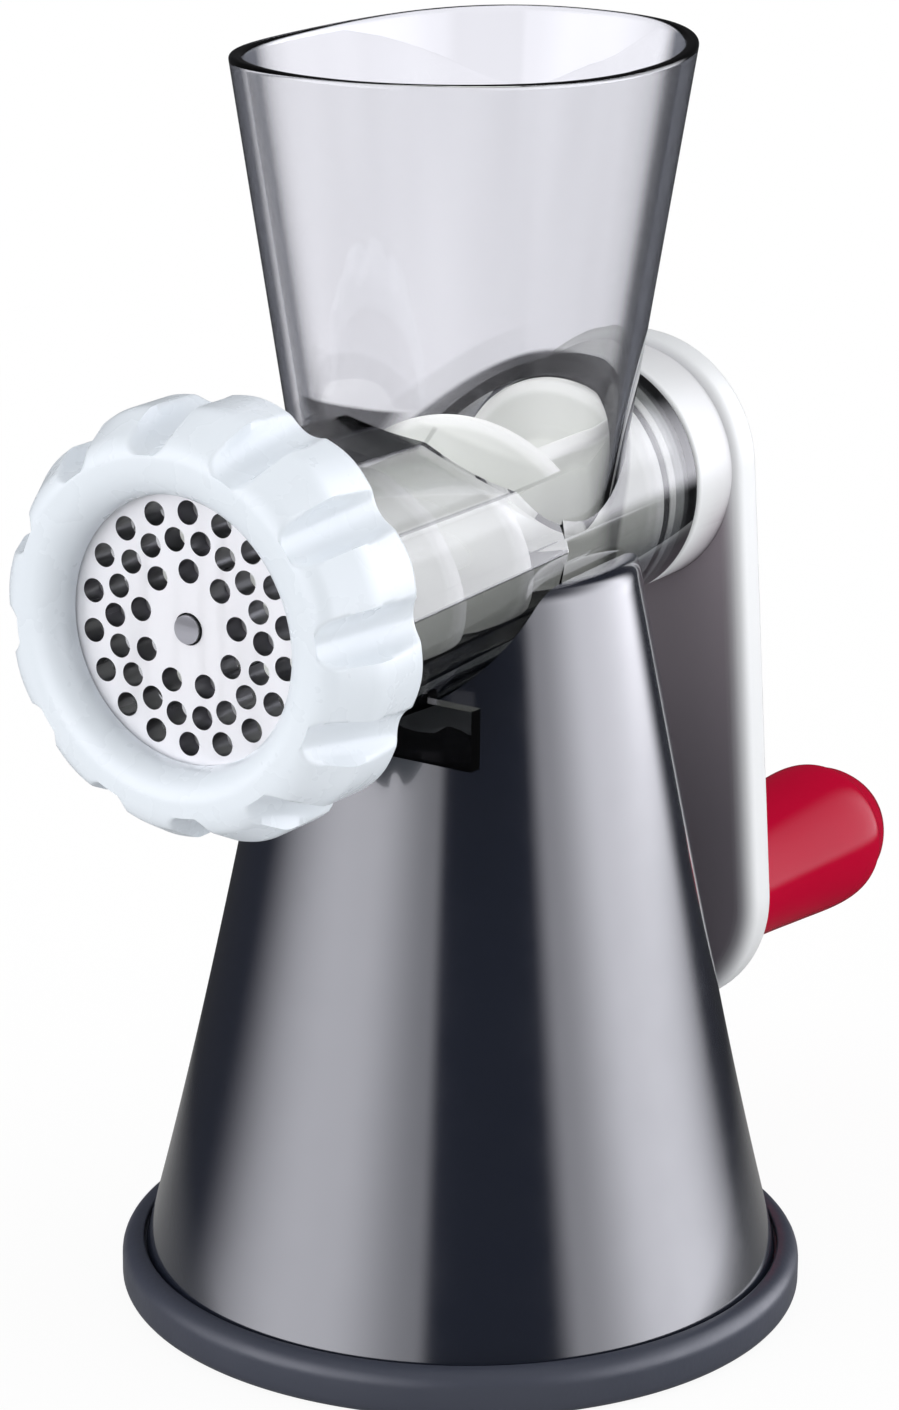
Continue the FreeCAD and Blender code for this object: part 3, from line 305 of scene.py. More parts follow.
# %% Finish helpers
NOISE_REACH = (0.3, 0.7)
SKIN_DEPTH = 0.0004
SKIN_SCALE = 600
SHADE_SCALE = 40
GLOSS_SCALE = 130


def new_finish(name, colour, roughness, **sockets):
    """A Principled finish with plain values on its sockets."""
    finish = bpy.data.materials.new(name)
    finish.use_nodes = True
    shader = finish.node_tree.nodes["Principled BSDF"]
    shader.inputs["Base Color"].default_value = (*colour, 1)
    shader.inputs["Roughness"].default_value = roughness
    for label, value in sockets.items():
        shader.inputs[label.replace("_", " ")].default_value = value
    return finish, finish.node_tree, shader


def noise(tree, scale, detail=3.0, stretch=(1, 1, 1)):
    """Noise over the piece's own coordinates, in cycles per metre."""
    spot = result_of(tree, "ShaderNodeMapping", Vector=object_place(tree), Scale=stretch)
    return result_of(tree, "ShaderNodeTexNoise", Vector=spot, Scale=scale, Detail=detail)


def wander(tree, value, low, high):
    """Spread a noise value between two limits."""
    return filled(tree, new_node(tree, "ShaderNodeMapRange"), value, *NOISE_REACH, low, high)


def tint_drift(tree, shader, colour, other, value):
    """Drift the base colour between two close shades."""
    mixed = layer(tree, (*colour, 1), value, other)
    tree.links.new(mixed, shader.inputs["Base Color"])
    return mixed


def fine_bump(tree, shader, value, strength, distance=SKIN_DEPTH):
    bump = result_of(tree, "ShaderNodeBump", Strength=strength, Distance=distance, Height=value)
    tree.links.new(bump, shader.inputs["Normal"])


def moulded(name, colour, other, roughness, skin=SKIN_SCALE, bump=0.03, **sockets):
    """Moulded plastic or rubber: drifting shade, wandering roughness and a fine skin."""
    finish, tree, shader = new_finish(name, colour, roughness, **sockets)
    tint_drift(tree, shader, colour, other, noise(tree, SHADE_SCALE))
    gloss = wander(tree, noise(tree, GLOSS_SCALE), roughness * 0.85, roughness * 1.15)
    tree.links.new(gloss, shader.inputs["Roughness"])
    fine_bump(tree, shader, noise(tree, skin, 2.0), bump)
    return finish


def about_axis(tree, x, z):
    """The height above the auger axis and the distance from it."""
    rise = math_node(tree, "SUBTRACT", z, AXIS_Z * MM)
    return rise, math_node(tree, "SQRT", total(tree, product(tree, x, x), product(tree, rise, rise)))


print("finish helpers ready")

# %% Opaque finishes
anthracite = moulded("anthracite_gloss", (0.0105, 0.0130, 0.0225), (0.0095, 0.0120, 0.0205), 0.16,
                     bump=0.006, Coat_Weight=1.0, Coat_Roughness=0.05, Coat_IOR=1.55, Specular_IOR_Level=0.75)
foot_rubber = moulded("foot_rubber", (0.046, 0.051, 0.072), (0.040, 0.045, 0.064), 0.36,
                      skin=900, bump=0.08)
black_rubber = moulded("seal_black", (0.008, 0.008, 0.009), (0.006, 0.006, 0.007), 0.4)
black_plastic = moulded("black_plastic", (0.012, 0.012, 0.014), (0.009, 0.009, 0.011), 0.45,
                        skin=900, bump=0.15)
ring_white = moulded("ring_white", (0.69, 0.735, 0.785), (0.675, 0.725, 0.78), 0.28, Specular_IOR_Level=0.45)
ARM_WHITE = (0.74, 0.755, 0.77)
arm_white = moulded("arm_white", ARM_WHITE, (0.73, 0.745, 0.765), 0.3)
knob_red = moulded("knob_red", (0.43, 0.0028, 0.028), (0.39, 0.0024, 0.024), 0.13, bump=0.008,
                   Specular_IOR_Level=0.06)
print("plain finishes:", len(bpy.data.materials))

# %% [markdown]
# Two finishes change over the piece. The auger is translucent ivory plastic, with a painted highlight along
# the crests of its flights. Light could be scattered inside it. A faint painted glow stands in for that,
# because it is simpler to set behind a clear wall, and it brightens the auger there. The arm's inner face is
# white with painted grey shade inside the rim, which runs out to white at the rim by a share that its mesh
# stores for each point.

# %% Auger and arm finishes
TIP_SLOPE = -0.0272
TIP_MIDDLE = 0.0220
CREST_EDGE = (-0.0026, -0.0009)
# Painted shade on the arm's inner face and panel: a grey that is darker low and paler high, and runs to white
# at the rim.
PAINTED_SHADE_HEIGHTS = (0.075, 0.145)
ARM_PAINTED_SHADE_TO_WHITE = ((0.20, 0.18, 0.205), (0.36, 0.32, 0.355), ARM_WHITE)


def screw_finish(name, body, crest):
    """Ivory plastic with a painted highlight along the crests of the flights, and a faint painted glow."""
    # The emission is a painted glow that brightens the auger. It is no lamp.
    finish, tree, shader = new_finish(name, body, 0.38, Emission_Strength=0.31)
    x, y, z = split_place(tree)
    reach = about_axis(tree, x, z)[1]
    tip = math_node(tree, "MULTIPLY_ADD", y, TIP_SLOPE, TIP_MIDDLE)
    # Painted highlight: the crests of the flights are tinted paler.
    near_tip = ramp_between(tree, math_node(tree, "SUBTRACT", reach, tip), *CREST_EDGE)
    drift = product(tree, noise(tree, 60), 0.12)
    mixed = tint_drift(tree, shader, body, crest, total(tree, near_tip, drift))
    # The painted glow takes the same colour, so the crests glow more.
    tree.links.new(mixed, shader.inputs["Emission Color"])
    fine_bump(tree, shader, noise(tree, SKIN_SCALE, 2.0), 0.03)
    return finish


def shaded_face(name, low, high, white):
    """White plastic with painted shade: its inner face runs to grey inside the rim, a little paler towards
    the top.
    """
    finish, tree, shader = new_finish(name, white, 0.34)
    # Painted shade, paler towards the top.
    rise = ramp_between(tree, split_place(tree)[2], *PAINTED_SHADE_HEIGHTS)
    drift = math_node(tree, "MULTIPLY_ADD", noise(tree, 25), 0.15, rise)
    grey = tint_drift(tree, shader, low, high, drift)
    share = new_node(tree, "ShaderNodeAttribute", attribute_name="white_share")
    tree.links.new(layer(tree, grey, share.outputs["Fac"], white), shader.inputs["Base Color"])
    fine_bump(tree, shader, noise(tree, 700, 2.0), 0.03)
    return finish


auger_ivory = screw_finish("auger_ivory", (0.78, 0.795, 0.765), (0.95, 0.96, 0.94))
panel_painted_shade = shaded_face("panel_painted_shade", *ARM_PAINTED_SHADE_TO_WHITE)
arm_shaded = shaded_face("arm_shaded", *ARM_PAINTED_SHADE_TO_WHITE)
print("finishes so far:", len(bpy.data.materials))


# %% Steel
def ground_steel(name, colour, roughness, stretch, metallic=1.0):
    """Steel with fine grinding lines along one axis."""
    finish, tree, shader = new_finish(name, colour, roughness, Metallic=metallic)
    lines = noise(tree, 420, 4.0, stretch)
    tree.links.new(wander(tree, lines, roughness * 0.7, roughness * 1.3), shader.inputs["Roughness"])
    fine_bump(tree, shader, lines, 0.06, 0.0002)
    return finish


plate_steel = ground_steel("plate_steel", (0.82, 0.82, 0.84), 0.45, (1, 1, 0.06), 0.5)
# A dark steel for the walls of the holes: painted shade inside them.
shaded_hole_steel = ground_steel("shaded_hole_steel", (0.16, 0.16, 0.17), 0.35, (1, 0.06, 1))
turned_steel = ground_steel("turned_steel", (0.44, 0.44, 0.46), 0.4, (0.06, 1, 1))
print("finishes:", len(bpy.data.materials))

# %% [markdown]
# The clear moulding is glass to the renderer, with a faint smoke tint. One even tint would make the thin
# hopper and the deep barrel look alike. So light loses strength with the depth of plastic it crosses, and the
# tint also changes by place: pale streaks, a greyer barrel, painted dark lines between its flats where
# refraction darkens the edges, dark where it is seen along its wall, and painted shade, nearly black, on the
# top flats, the rear rim, the stop plate, the keel and the throat, where the dark cone and shade show
# through. Light from the lamps passes through it.

# %% Clear finish: tint
CLEAR_PALE = (0.99, 0.99, 0.988, 1)
CLEAR_STREAK = (0.89, 0.89, 0.892)
BARREL_GREY = (0.40, 0.41, 0.40)
FLAT_LINE_PAINTED_DARK = (0.03, 0.03, 0.035)
EDGE_DARK = (0.035, 0.038, 0.045)
PAINTED_SHADE_DARK = (0.006, 0.006, 0.008)


def hopper_level(tree, x, y, rise):
    """Below 1 inside the hopper's oval plan, and above 1 outside it."""
    beside = math_node(tree, "DIVIDE", x, math_node(tree, "MULTIPLY_ADD", rise, 0.1409, 0.0255))
    behind = math_node(tree, "DIVIDE", math_node(tree, "ADD", y, 0.0026),
                       math_node(tree, "MULTIPLY_ADD", rise, 0.1693, 0.0338))
    return total(tree, product(tree, beside, beside), product(tree, behind, behind))


def moulding_tint(tree):
    """The tint by place, with places in metres."""
    across, y, z = split_place(tree)
    x = math_node(tree, "ABSOLUTE", across)
    rise, reach = about_axis(tree, x, z)
    level = hopper_level(tree, x, y, rise)

    def within(value, *limits):
        return ramp_between(tree, value, *limits)

    streaks = wander(tree, noise(tree, 42, 2.0, (1, 1, 0.05)), 0.0, 1.0)
    tint = layer(tree, CLEAR_PALE, streaks, CLEAR_STREAK)
    on_barrel = product(tree, within(reach, 0.0325, 0.0312), within(y, 0.039, 0.037), within(level, 1.0, 1.1))
    tint = layer(tree, tint, product(tree, on_barrel, 0.6), BARREL_GREY)
    # Painted dark lines along the edges between the flats, standing in for the refraction there.
    from_line = math_node(tree, "PINGPONG", math_node(tree, "ARCTAN2", rise, across), pi / 12)
    lines = product(tree, within(from_line, 0.016, 0.006), within(reach, 0.0262, 0.0270), on_barrel,
                    within(y, -0.009, -0.012))
    tint = layer(tree, tint, product(tree, lines, 0.8), FLAT_LINE_PAINTED_DARK)
    slant = new_node(tree, "ShaderNodeLayerWeight")
    slant.inputs["Blend"].default_value = 0.5
    tint = layer(tree, tint, within(slant.outputs["Facing"], 0.46, 0.70), EDGE_DARK)

    # Painted shade: the zones below are painted nearly black where the dark cone and shade show through.
    flat_edge = math_node(tree, "MULTIPLY_ADD", y, -0.0403, 0.1778)
    top_flats = product(tree, within(math_node(tree, "SUBTRACT", z, flat_edge), -0.0004, 0.0003),
                        within(y, -0.0385, -0.0405), within(z, 0.1858, 0.1850))
    rear_rim = product(tree, within(y, 0.0394, 0.0404), within(z, 0.187, 0.183))
    stop = product(tree, within(z, 0.1385, 0.1375), within(y, -0.0450, -0.0440), within(y, -0.0395, -0.0400))
    keel = product(tree, within(z, 0.1310, 0.1290), within(x, 0.0080, 0.0072))
    throat = product(tree, within(level, 0.72, 0.80), within(level, 1.10, 1.03),
                     within(reach, 0.0272, 0.0262), within(y, 0.004, 0.012), 0.95)
    # Lay the painted shade over the tint.
    for zone in (top_flats, rear_rim, stop, keel, throat):
        tint = layer(tree, tint, product(tree, zone, 0.97), PAINTED_SHADE_DARK)
    return tint


print("clear tint ready")

# %% Clear finish: plastic
SMOKE = (0.43, 0.433, 0.435, 1)
LAMP_PASS = (0.96, 0.96, 0.96, 1)


def smoked_clear(name, depth):
    """Clear plastic with a tint by place, smoke in its depth and a free way for light from the lamps."""
    finish, tree, shader = new_finish(name, (0.96, 0.96, 0.965), 0.01, Transmission_Weight=1.0, IOR=1.49)
    tree.links.new(wander(tree, noise(tree, 90), 0.0, 0.02), shader.inputs["Roughness"])
    tree.links.new(moulding_tint(tree), shader.inputs["Base Color"])
    shadow = new_node(tree, "ShaderNodeLightPath").outputs["Is Shadow Ray"]
    through = result_of(tree, "ShaderNodeBsdfTransparent", Color=LAMP_PASS)
    output = tree.nodes["Material Output"]
    tree.links.new(mix_shaders(tree, shadow, shader.outputs[0], through), output.inputs["Surface"])
    smoke = result_of(tree, "ShaderNodeVolumeAbsorption", Color=SMOKE, Density=depth)
    tree.links.new(smoke, output.inputs["Volume"])
    return finish


clear_smoke = smoked_clear("clear_smoke", 36.0)
print("all finishes:", len(bpy.data.materials))

# %% [markdown]
# ## Mesh tools
# Most pieces are round or moulded with soft edges. They could be modelled by hand. Here most are a profile
# with rounded corners spun about an axis, and others are skinned over rings of points that follow a formula,
# because every size then stays a number. Booleans cut the saddle, the bore and the slots.

# %% Mesh tools
SPIN = 192


def tidy_mesh(mesh):
    shape = bmesh.new()
    shape.from_mesh(mesh)
    bmesh.ops.remove_doubles(shape, verts=shape.verts, dist=1e-7)
    bmesh.ops.dissolve_degenerate(shape, edges=shape.edges, dist=1e-8)
    bmesh.ops.recalc_face_normals(shape, faces=shape.faces)
    shape.to_mesh(mesh)
    shape.free()


def skin(name, rings, loop=False):
    """Skin closed rings of points, in millimetres. loop joins the last ring to the first, and else both
    ends are capped."""
    count = len(rings[0])
    points = [tuple(np.asarray(point) * MM) for ring in rings for point in ring]
    faces = []
    for row in range(len(rings) if loop else len(rings) - 1):
        above = (row + 1) % len(rings)
        for index in range(count):
            beside = (index + 1) % count
            corners = ((row, index), (row, beside), (above, beside), (above, index))
            faces.append([ring * count + side for ring, side in corners])
    if not loop:
        faces.append(tuple(range(count)))
        faces.append(tuple(range((len(rings) - 1) * count, len(rings) * count)))
    mesh = bpy.data.meshes.new(name)
    mesh.from_pydata(points, [], faces)
    tidy_mesh(mesh)
    return add_object(name, mesh)


def rounded(corners, steps=8):
    """A line through corners (across, along, radius), with each corner rounded by its radius."""
    line = []
    for index, corner in enumerate(corners):
        here = Vector(corner[:2])
        radius = corner[2] if len(corner) == 3 else 0
        if radius == 0:
            line.append(here)
            continue
        before = (Vector(corners[index - 1][:2]) - here).normalized()
        after = (Vector(corners[(index + 1) % len(corners)][:2]) - here).normalized()
        half = before.angle(after) / 2
        reach = radius / tan(half)
        centre = here + (before + after).normalized() * radius / sin(half)
        start = here + before * reach - centre
        end = here + after * reach - centre
        sweep = pi - 2 * half
        side = 1 if start.x * end.y - start.y * end.x > 0 else -1
        for step in range(steps + 1):
            turn = side * sweep * step / steps
            line.append(centre + Matrix.Rotation(turn, 2) @ start)
    return line


def turned_z(name, line, loop=False):
    """Spin a line of (radius, height) about the stand's axis."""
    turns = full_turn(SPIN)
    return skin(name, [[(r * cos(t), r * sin(t), z) for t in turns] for r, z in line], loop)


def turned_y(name, line, centre=(0, AXIS_Z), loop=False):
    """Spin a line of (radius, place along Y) about an axis along Y."""
    x, z = centre
    turns = full_turn(SPIN)
    return skin(name, [[(x + r * cos(t), y, z + r * sin(t)) for t in turns] for r, y in line], loop)


def prism(name, outline, low, high):
    """Raise an outline in plan from one height to another."""
    return skin(name, [[(x, y, z) for x, y in outline] for z in (low, high)])


def box_tool(name, low, high):
    outline = [(low[0], low[1]), (high[0], low[1]), (high[0], high[1]), (low[0], high[1])]
    return prism(name, outline, low[2], high[2])


print("mesh tools ready, spin", SPIN)


# %% Boolean and finish tools
def bake_modifiers(obj):
    """Turn the modified shape into the object's own mesh."""
    graph = bpy.context.evaluated_depsgraph_get()
    mesh = bpy.data.meshes.new_from_object(obj.evaluated_get(graph))
    obj.modifiers.clear()
    obj.data = mesh


def combine(base, tool, operation):
    """Join a tool to a base or cut it away, and drop the tool."""
    change = base.modifiers.new("combine", "BOOLEAN")
    change.object = tool
    change.operation = operation
    change.solver = "EXACT"
    bake_modifiers(base)
    bpy.data.objects.remove(tool)


def new_shape_tree(name):
    """An empty Geometry Nodes tree with one shape as its output."""
    tree = bpy.data.node_groups.new(name, "GeometryNodeTree")
    tree.is_modifier = True
    tree.interface.new_socket("Geometry", in_out="OUTPUT", socket_type="NodeSocketGeometry")
    return tree


def tree_input(tree, name, value, kind="Float"):
    """Add a named input to a Geometry Nodes tree."""
    socket = tree.interface.new_socket(name, in_out="INPUT", socket_type="NodeSocket" + kind)
    socket.default_value = value


def place_along_y(obj, y):
    """Lay a piece made about Z along the auger axis."""
    upright = Matrix.Rotation(radians(90), 4, "X")
    obj.data.transform(Matrix.Translation(Vector((0, y, AXIS_Z)) * MM) @ upright)


def finish_piece(obj, finish, body, slot, *nodes, sharp=32):
    """Shade, paint and hand a piece to the frame. A finish of None keeps what the piece already wears."""
    if finish:
        obj.data.materials.clear()
        obj.data.materials.append(finish)
    obj.data.shade_smooth()
    obj.data.set_sharp_from_angle(angle=radians(sharp))
    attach(obj, body)
    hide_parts(*nodes)
    print(obj.name, "faces", len(obj.data.polygons))


print("finish tools ready")

# %% [markdown]
# ## Stand
# The stand is a slim cone with a slightly hollow flank on a rubber foot. Its top is cut to a saddle for the
# barrel, and a slot at the rear lets the suction lever out. A straight taper would nearly do. The flank
# follows a cubic measured on the photograph, and is hollowed before it is cut, so its wall shows at the slot.

# %% Foot
FOOT_RADIUS = 67.0
FOOT_HEIGHT = 9.5
FOOT_BORE = 50.0
FOOT_SHELF = 8.0
SADDLE_GAP = 0.3


def cone_radius(z):
    """The cone's flank, as measured on the photograph."""
    u = z / 100
    return 64.875 - 27.566 * u + 7.009 * u ** 2 - 2.087 * u ** 3 - 0.3


lip = cone_radius(FOOT_SHELF) + SADDLE_GAP
foot_line = rounded([
    (FOOT_BORE, 0, 0.5), (FOOT_RADIUS, 0, 2.4), (FOOT_RADIUS, FOOT_HEIGHT, 3.4), (lip, FOOT_HEIGHT, 0.4),
    (lip, FOOT_SHELF, 0), (FOOT_BORE, FOOT_SHELF, 0.5),
])
foot = turned_z("foot_rubber_ring", foot_line, loop=True)
finish_piece(foot, foot_rubber, "stand", "rubber", "foot_ring")

# %% Cone
CONE_TOP = 149.5
CONE_WALL = 3.0
TOP_ROUND = 4.0
LAND_Y = -72.0
REAR_Y = 44.0
BARREL_FRONT = 29.8
BARREL_REAR = 24.4
FACET_PROUD = 0.5
KEEL_SLOT = ((-7.3, -43.8, 121.5), (7.3, 20.3, 155))
SLOT_HEIGHTS = (11.3, 18.3)
SLOT_TURNS = (57, 133)
SLOT_REACH = 80


def barrel_radius(y):
    return BARREL_FRONT + (BARREL_REAR - BARREL_FRONT) * (y - LAND_Y) / (REAR_Y - LAND_Y)


def barrel_tool(name, grow):
    ends = (LAND_Y - 40, REAR_Y + 40)
    line = [(0, ends[0])] + [(barrel_radius(y) + grow, y) for y in np.linspace(*ends, 40)] + [(0, ends[1])]
    return turned_y(name, line)


heights = np.linspace(FOOT_SHELF, CONE_TOP, 60)
flank = [(cone_radius(z), z) for z in heights if z < CONE_TOP - TOP_ROUND]
shoulder = rounded([flank[-1], (cone_radius(CONE_TOP), CONE_TOP, TOP_ROUND), (0, CONE_TOP)])
cone = turned_z("cone_stand", [(0, FOOT_SHELF)] + flank + shoulder[1:])
inside_top = CONE_TOP - CONE_WALL
inside_line = [(cone_radius(z) - CONE_WALL, z) for z in np.linspace(FOOT_SHELF - 1, inside_top, 40)]
inside = turned_z("cone_inside", [(0, FOOT_SHELF - 1)] + inside_line + [(0, inside_top)])
combine(inside, barrel_tool("saddle_wall", FACET_PROUD + SADDLE_GAP + CONE_WALL), "DIFFERENCE")
combine(cone, inside, "DIFFERENCE")
combine(cone, barrel_tool("saddle", FACET_PROUD + SADDLE_GAP), "DIFFERENCE")
combine(cone, box_tool("keel_slot", *KEEL_SLOT), "DIFFERENCE")
slot_turns = np.radians(np.linspace(*SLOT_TURNS, 40))
slot_outline = [(0, 0)] + [(SLOT_REACH * cos(t), SLOT_REACH * sin(t)) for t in slot_turns]
combine(cone, prism("lever_slot", slot_outline, *SLOT_HEIGHTS), "DIFFERENCE")
finish_piece(cone, anthracite, "stand", "anthracite", "base_cone")

# %% [markdown]
# The suction lever is one moulded bar: a hub that turns on the floor's collar, an arm, and a wider paddle for
# the finger outside the slot. A bevelled box would do for the arm. It is skinned over rounded sections along
# its length instead, because the paddle widens smoothly and its end is round.

# %% Suction lever
LEVER_LOW = 12.3
LEVER_THICK = 5.0
LEVER_REACH = 72.95
LEVER_ROOT = 14.0
LEVER_REST = radians(120)
LEVER_HALF = 6.0
PADDLE_HALF = 10.0
PADDLE_WIDENS = (55.0, 61.0)
PADDLE_CORNER = 4.0
LEVER_EDGE = 1.2
STUD_WAY = 5.05
HUB_RADIUS = 16.0
HUB_BORE = 12.05
HUB_LOW = 11.3
HUB_ROOF = 18.3
HUB_TOP = 23.3


def lever_section(along):
    """A rounded section of the lever, at a distance from the stud."""
    half = LEVER_HALF + (PADDLE_HALF - LEVER_HALF) * soft_step(share_between(along, *PADDLE_WIDENS))
    past_corner = max(along - (LEVER_REACH - PADDLE_CORNER), 0)
    half -= PADDLE_CORNER - sqrt(max(PADDLE_CORNER ** 2 - past_corner ** 2, 0))
    past_edge = max(along - (LEVER_REACH - LEVER_EDGE), 0)
    thin = LEVER_THICK / 2 - LEVER_EDGE + sqrt(max(LEVER_EDGE ** 2 - past_edge ** 2, 0))
    edge = min(LEVER_EDGE, 0.9 * thin)
    corners = [(-half, -thin, edge), (half, -thin, edge), (half, thin, edge), (-half, thin, edge)]
    middle = LEVER_LOW + LEVER_THICK / 2
    c, s = cos(LEVER_REST), sin(LEVER_REST)
    return [(along * c - a * s, along * s + a * c, middle + rise) for a, rise in rounded(corners, steps=4)]


tip_turns = np.linspace(0, pi / 2, 16)
lever_rows = list(np.linspace(LEVER_ROOT, LEVER_REACH - PADDLE_CORNER - 0.1, 40))
lever_rows += [LEVER_REACH - PADDLE_CORNER * (1 - sin(turn)) for turn in tip_turns]
lever = skin("lever_bar", [lever_section(along) for along in lever_rows])
hub_line = rounded([
    (HUB_BORE, HUB_LOW), (HUB_RADIUS, HUB_LOW, 0.4), (HUB_RADIUS, HUB_TOP, 1.0),
    (STUD_WAY, HUB_TOP, 0.4), (STUD_WAY, HUB_ROOF), (HUB_BORE, HUB_ROOF),
])
combine(lever, turned_z("lever_hub", hub_line, loop=True), "UNION")
finish_piece(lever, black_plastic, "lever", "black_plastic", "suction_lever")

# %% [markdown]
# ## Clear moulding
# The mouth of the barrel carries a coarse rounded thread for the ring. It could be skinned ring by ring. A
# thread is a ridge that follows a helix, so Geometry Nodes sweep a circle along a spiral instead, with its
# sizes as inputs, and thin it at both ends, where threads run out.

# %% Thread
THREAD_LEAD = 6.0
THREAD_TURNS = 1.75
THREAD_START = -75.4
THREAD_RIDGE = 1.3
THREAD_RADIUS = 30.1


def build_thread():
    tree = new_shape_tree("thread_ridge")
    sizes = {"Radius": THREAD_RADIUS, "Lead": THREAD_LEAD, "Ridge": THREAD_RIDGE}
    for name, value in sizes.items():
        tree_input(tree, name, value * MM)
    tree_input(tree, "Turns", THREAD_TURNS)
    tree_input(tree, "Finish", clear_smoke, "Material")
    given = new_node(tree, "NodeGroupInput").outputs
    climb = product(tree, given["Turns"], given["Lead"])
    helix = result_of(tree, "GeometryNodeCurveSpiral", Resolution=96, Reverse=True, Height=climb,
                      Rotations=given["Turns"], Start_Radius=given["Radius"], End_Radius=given["Radius"])
    place = result_of(tree, "GeometryNodeSplineParameter")
    from_end = math_node(tree, "PINGPONG", place, 0.5)
    run_out = math_node(tree, "MINIMUM", math_node(tree, "MULTIPLY_ADD", from_end, 10.0, 0.2), 1.0)
    thinned = result_of(tree, "GeometryNodeSetCurveRadius", Curve=helix, Radius=run_out)
    outline = result_of(tree, "GeometryNodeCurvePrimitiveCircle", Resolution=16, Radius=given["Ridge"])
    sweep = result_of(tree, "GeometryNodeCurveToMesh", Fill_Caps=True, Curve=thinned, Profile_Curve=outline)
    real = result_of(tree, "GeometryNodeRealizeInstances", Geometry=sweep)
    painted = result_of(tree, "GeometryNodeSetMaterial", Geometry=real, Material=given["Finish"])
    tree.links.new(painted, new_node(tree, "NodeGroupOutput").inputs[0])
    return tree


thread = add_object("thread", bpy.data.meshes.new("thread"))
thread.modifiers.new("thread", "NODES").node_group = build_thread()
bake_modifiers(thread)
place_along_y(thread, THREAD_START)
tidy_mesh(thread.data)
print("thread faces", len(thread.data.polygons))

# %% [markdown]
# Hopper, barrel, stop plate and keel are one clear moulding. A sheet with a thickness would do if it were not
# clear. Here the outside and the inside are each joined from simple forms, and the inside is then cut away,
# so the walls are real and refract.

# %% Hopper and barrel forms
MOUTH_Y = -88.0
SHOULDER_Y = -84.8
SOCKET_RADIUS = 30.4
FACET_END_Y = -8.0
HOPPER_TOP = 246.1
HOPPER_WALL = 2.6
HOPPER_MIDDLE = -2.6
HALF_WIDTHS = (25.5, 38.35)
HALF_LENGTHS = (33.8, 49.24)
PLAN_POWER = 2 / 2.2
RIM_DIP = 1.4
RIM_ROUND = 1.0
FACETS = 12
BLUNT = 0.9


def hopper_ring(z, inset):
    """A squared oval, in plan."""
    share = (z - AXIS_Z) / (HOPPER_TOP - AXIS_Z)
    width, length = [low + (high - low) * share for low, high in (HALF_WIDTHS, HALF_LENGTHS)]
    dip = RIM_DIP * max(0, share) ** 2
    ring = []
    for turn in full_turn(SPIN):
        c, s = cos(turn), sin(turn)
        x = (width - inset) * copysign(abs(c) ** PLAN_POWER, c)
        y = (length - inset) * copysign(abs(s) ** PLAN_POWER, s)
        ring.append((x, y + HOPPER_MIDDLE, z - dip * c ** 4))
    return ring


def hopper_form(name, inset, rim):
    """rim lists (height, extra inset) rows at the top."""
    rows = [hopper_ring(z, inset) for z in np.linspace(AXIS_Z, HOPPER_TOP - 1.2, 28)]
    rows += [hopper_ring(z, inset + extra) for z, extra in rim]
    return skin(name, rows)


def facet_ring(y):
    """Twelve flats with blunt edges."""
    ring = []
    radius = barrel_radius(y) + FACET_PROUD
    flat = radius * cos(pi / FACETS)
    for index in range(FACETS):
        for step in (-1, 0, 1):
            edge = 2 * pi * index / FACETS
            turn = edge + step * BLUNT / radius
            reach = flat / cos(abs(turn - edge) - pi / FACETS)
            reach = min(reach, radius - 0.06) if step == 0 else reach
            ring.append((reach * cos(turn), y, AXIS_Z + reach * sin(turn)))
    return ring


quarter = np.linspace(0, pi / 2, 10)
rim_outer = [(HOPPER_TOP - RIM_ROUND * (1 - sin(t)), RIM_ROUND * (1 - cos(t))) for t in quarter]
rim_inner = [(height, -extra) for height, extra in rim_outer] + [(HOPPER_TOP + 1, -RIM_ROUND)]
print("rim rows:", len(rim_outer), len(rim_inner))

# %% Clear moulding
STOP_FRONT = -43.5
STOP_BACK = STOP_FRONT + 3
STOP_HALF = 29.2
NECK_HALF = 19.7
KEEL_HALF = 7
STOP_LOW = 121.8
PLATE_SEAT = 27.1
BORE_FRONT = 25.4
BORE_REAR = 21.9

moulding = skin("clear_moulding", [facet_ring(y) for y in np.linspace(LAND_Y, FACET_END_Y, 24)])
tube_line = rounded([
    (0, MOUTH_Y), (SOCKET_RADIUS, MOUTH_Y, 0.5), (SOCKET_RADIUS, LAND_Y + 0.02, 0.3),
    (barrel_radius(LAND_Y) - 1.2, LAND_Y + 0.3), (barrel_radius(FACET_END_Y) - 1.0, FACET_END_Y - 1.1),
    (barrel_radius(FACET_END_Y), FACET_END_Y - 0.6), (barrel_radius(REAR_Y), REAR_Y, 0.6), (0, REAR_Y),
])
combine(moulding, turned_y("round_barrel", tube_line), "UNION")
combine(moulding, hopper_form("hopper_outside", 0, rim_outer), "UNION")
stop_plate = box_tool("stop_plate", (-STOP_HALF, STOP_FRONT, STOP_LOW), (STOP_HALF, STOP_BACK, 133.3))
stop_neck = box_tool("stop_neck", (-NECK_HALF, STOP_FRONT, 122.5), (NECK_HALF, STOP_BACK, 138))
combine(stop_plate, stop_neck, "UNION")
keel = box_tool("keel", (-KEEL_HALF, STOP_FRONT + 1, STOP_LOW), (KEEL_HALF, 20, 134))
combine(stop_plate, keel, "UNION")
combine(moulding, stop_plate, "UNION")
combine(moulding, thread, "UNION")

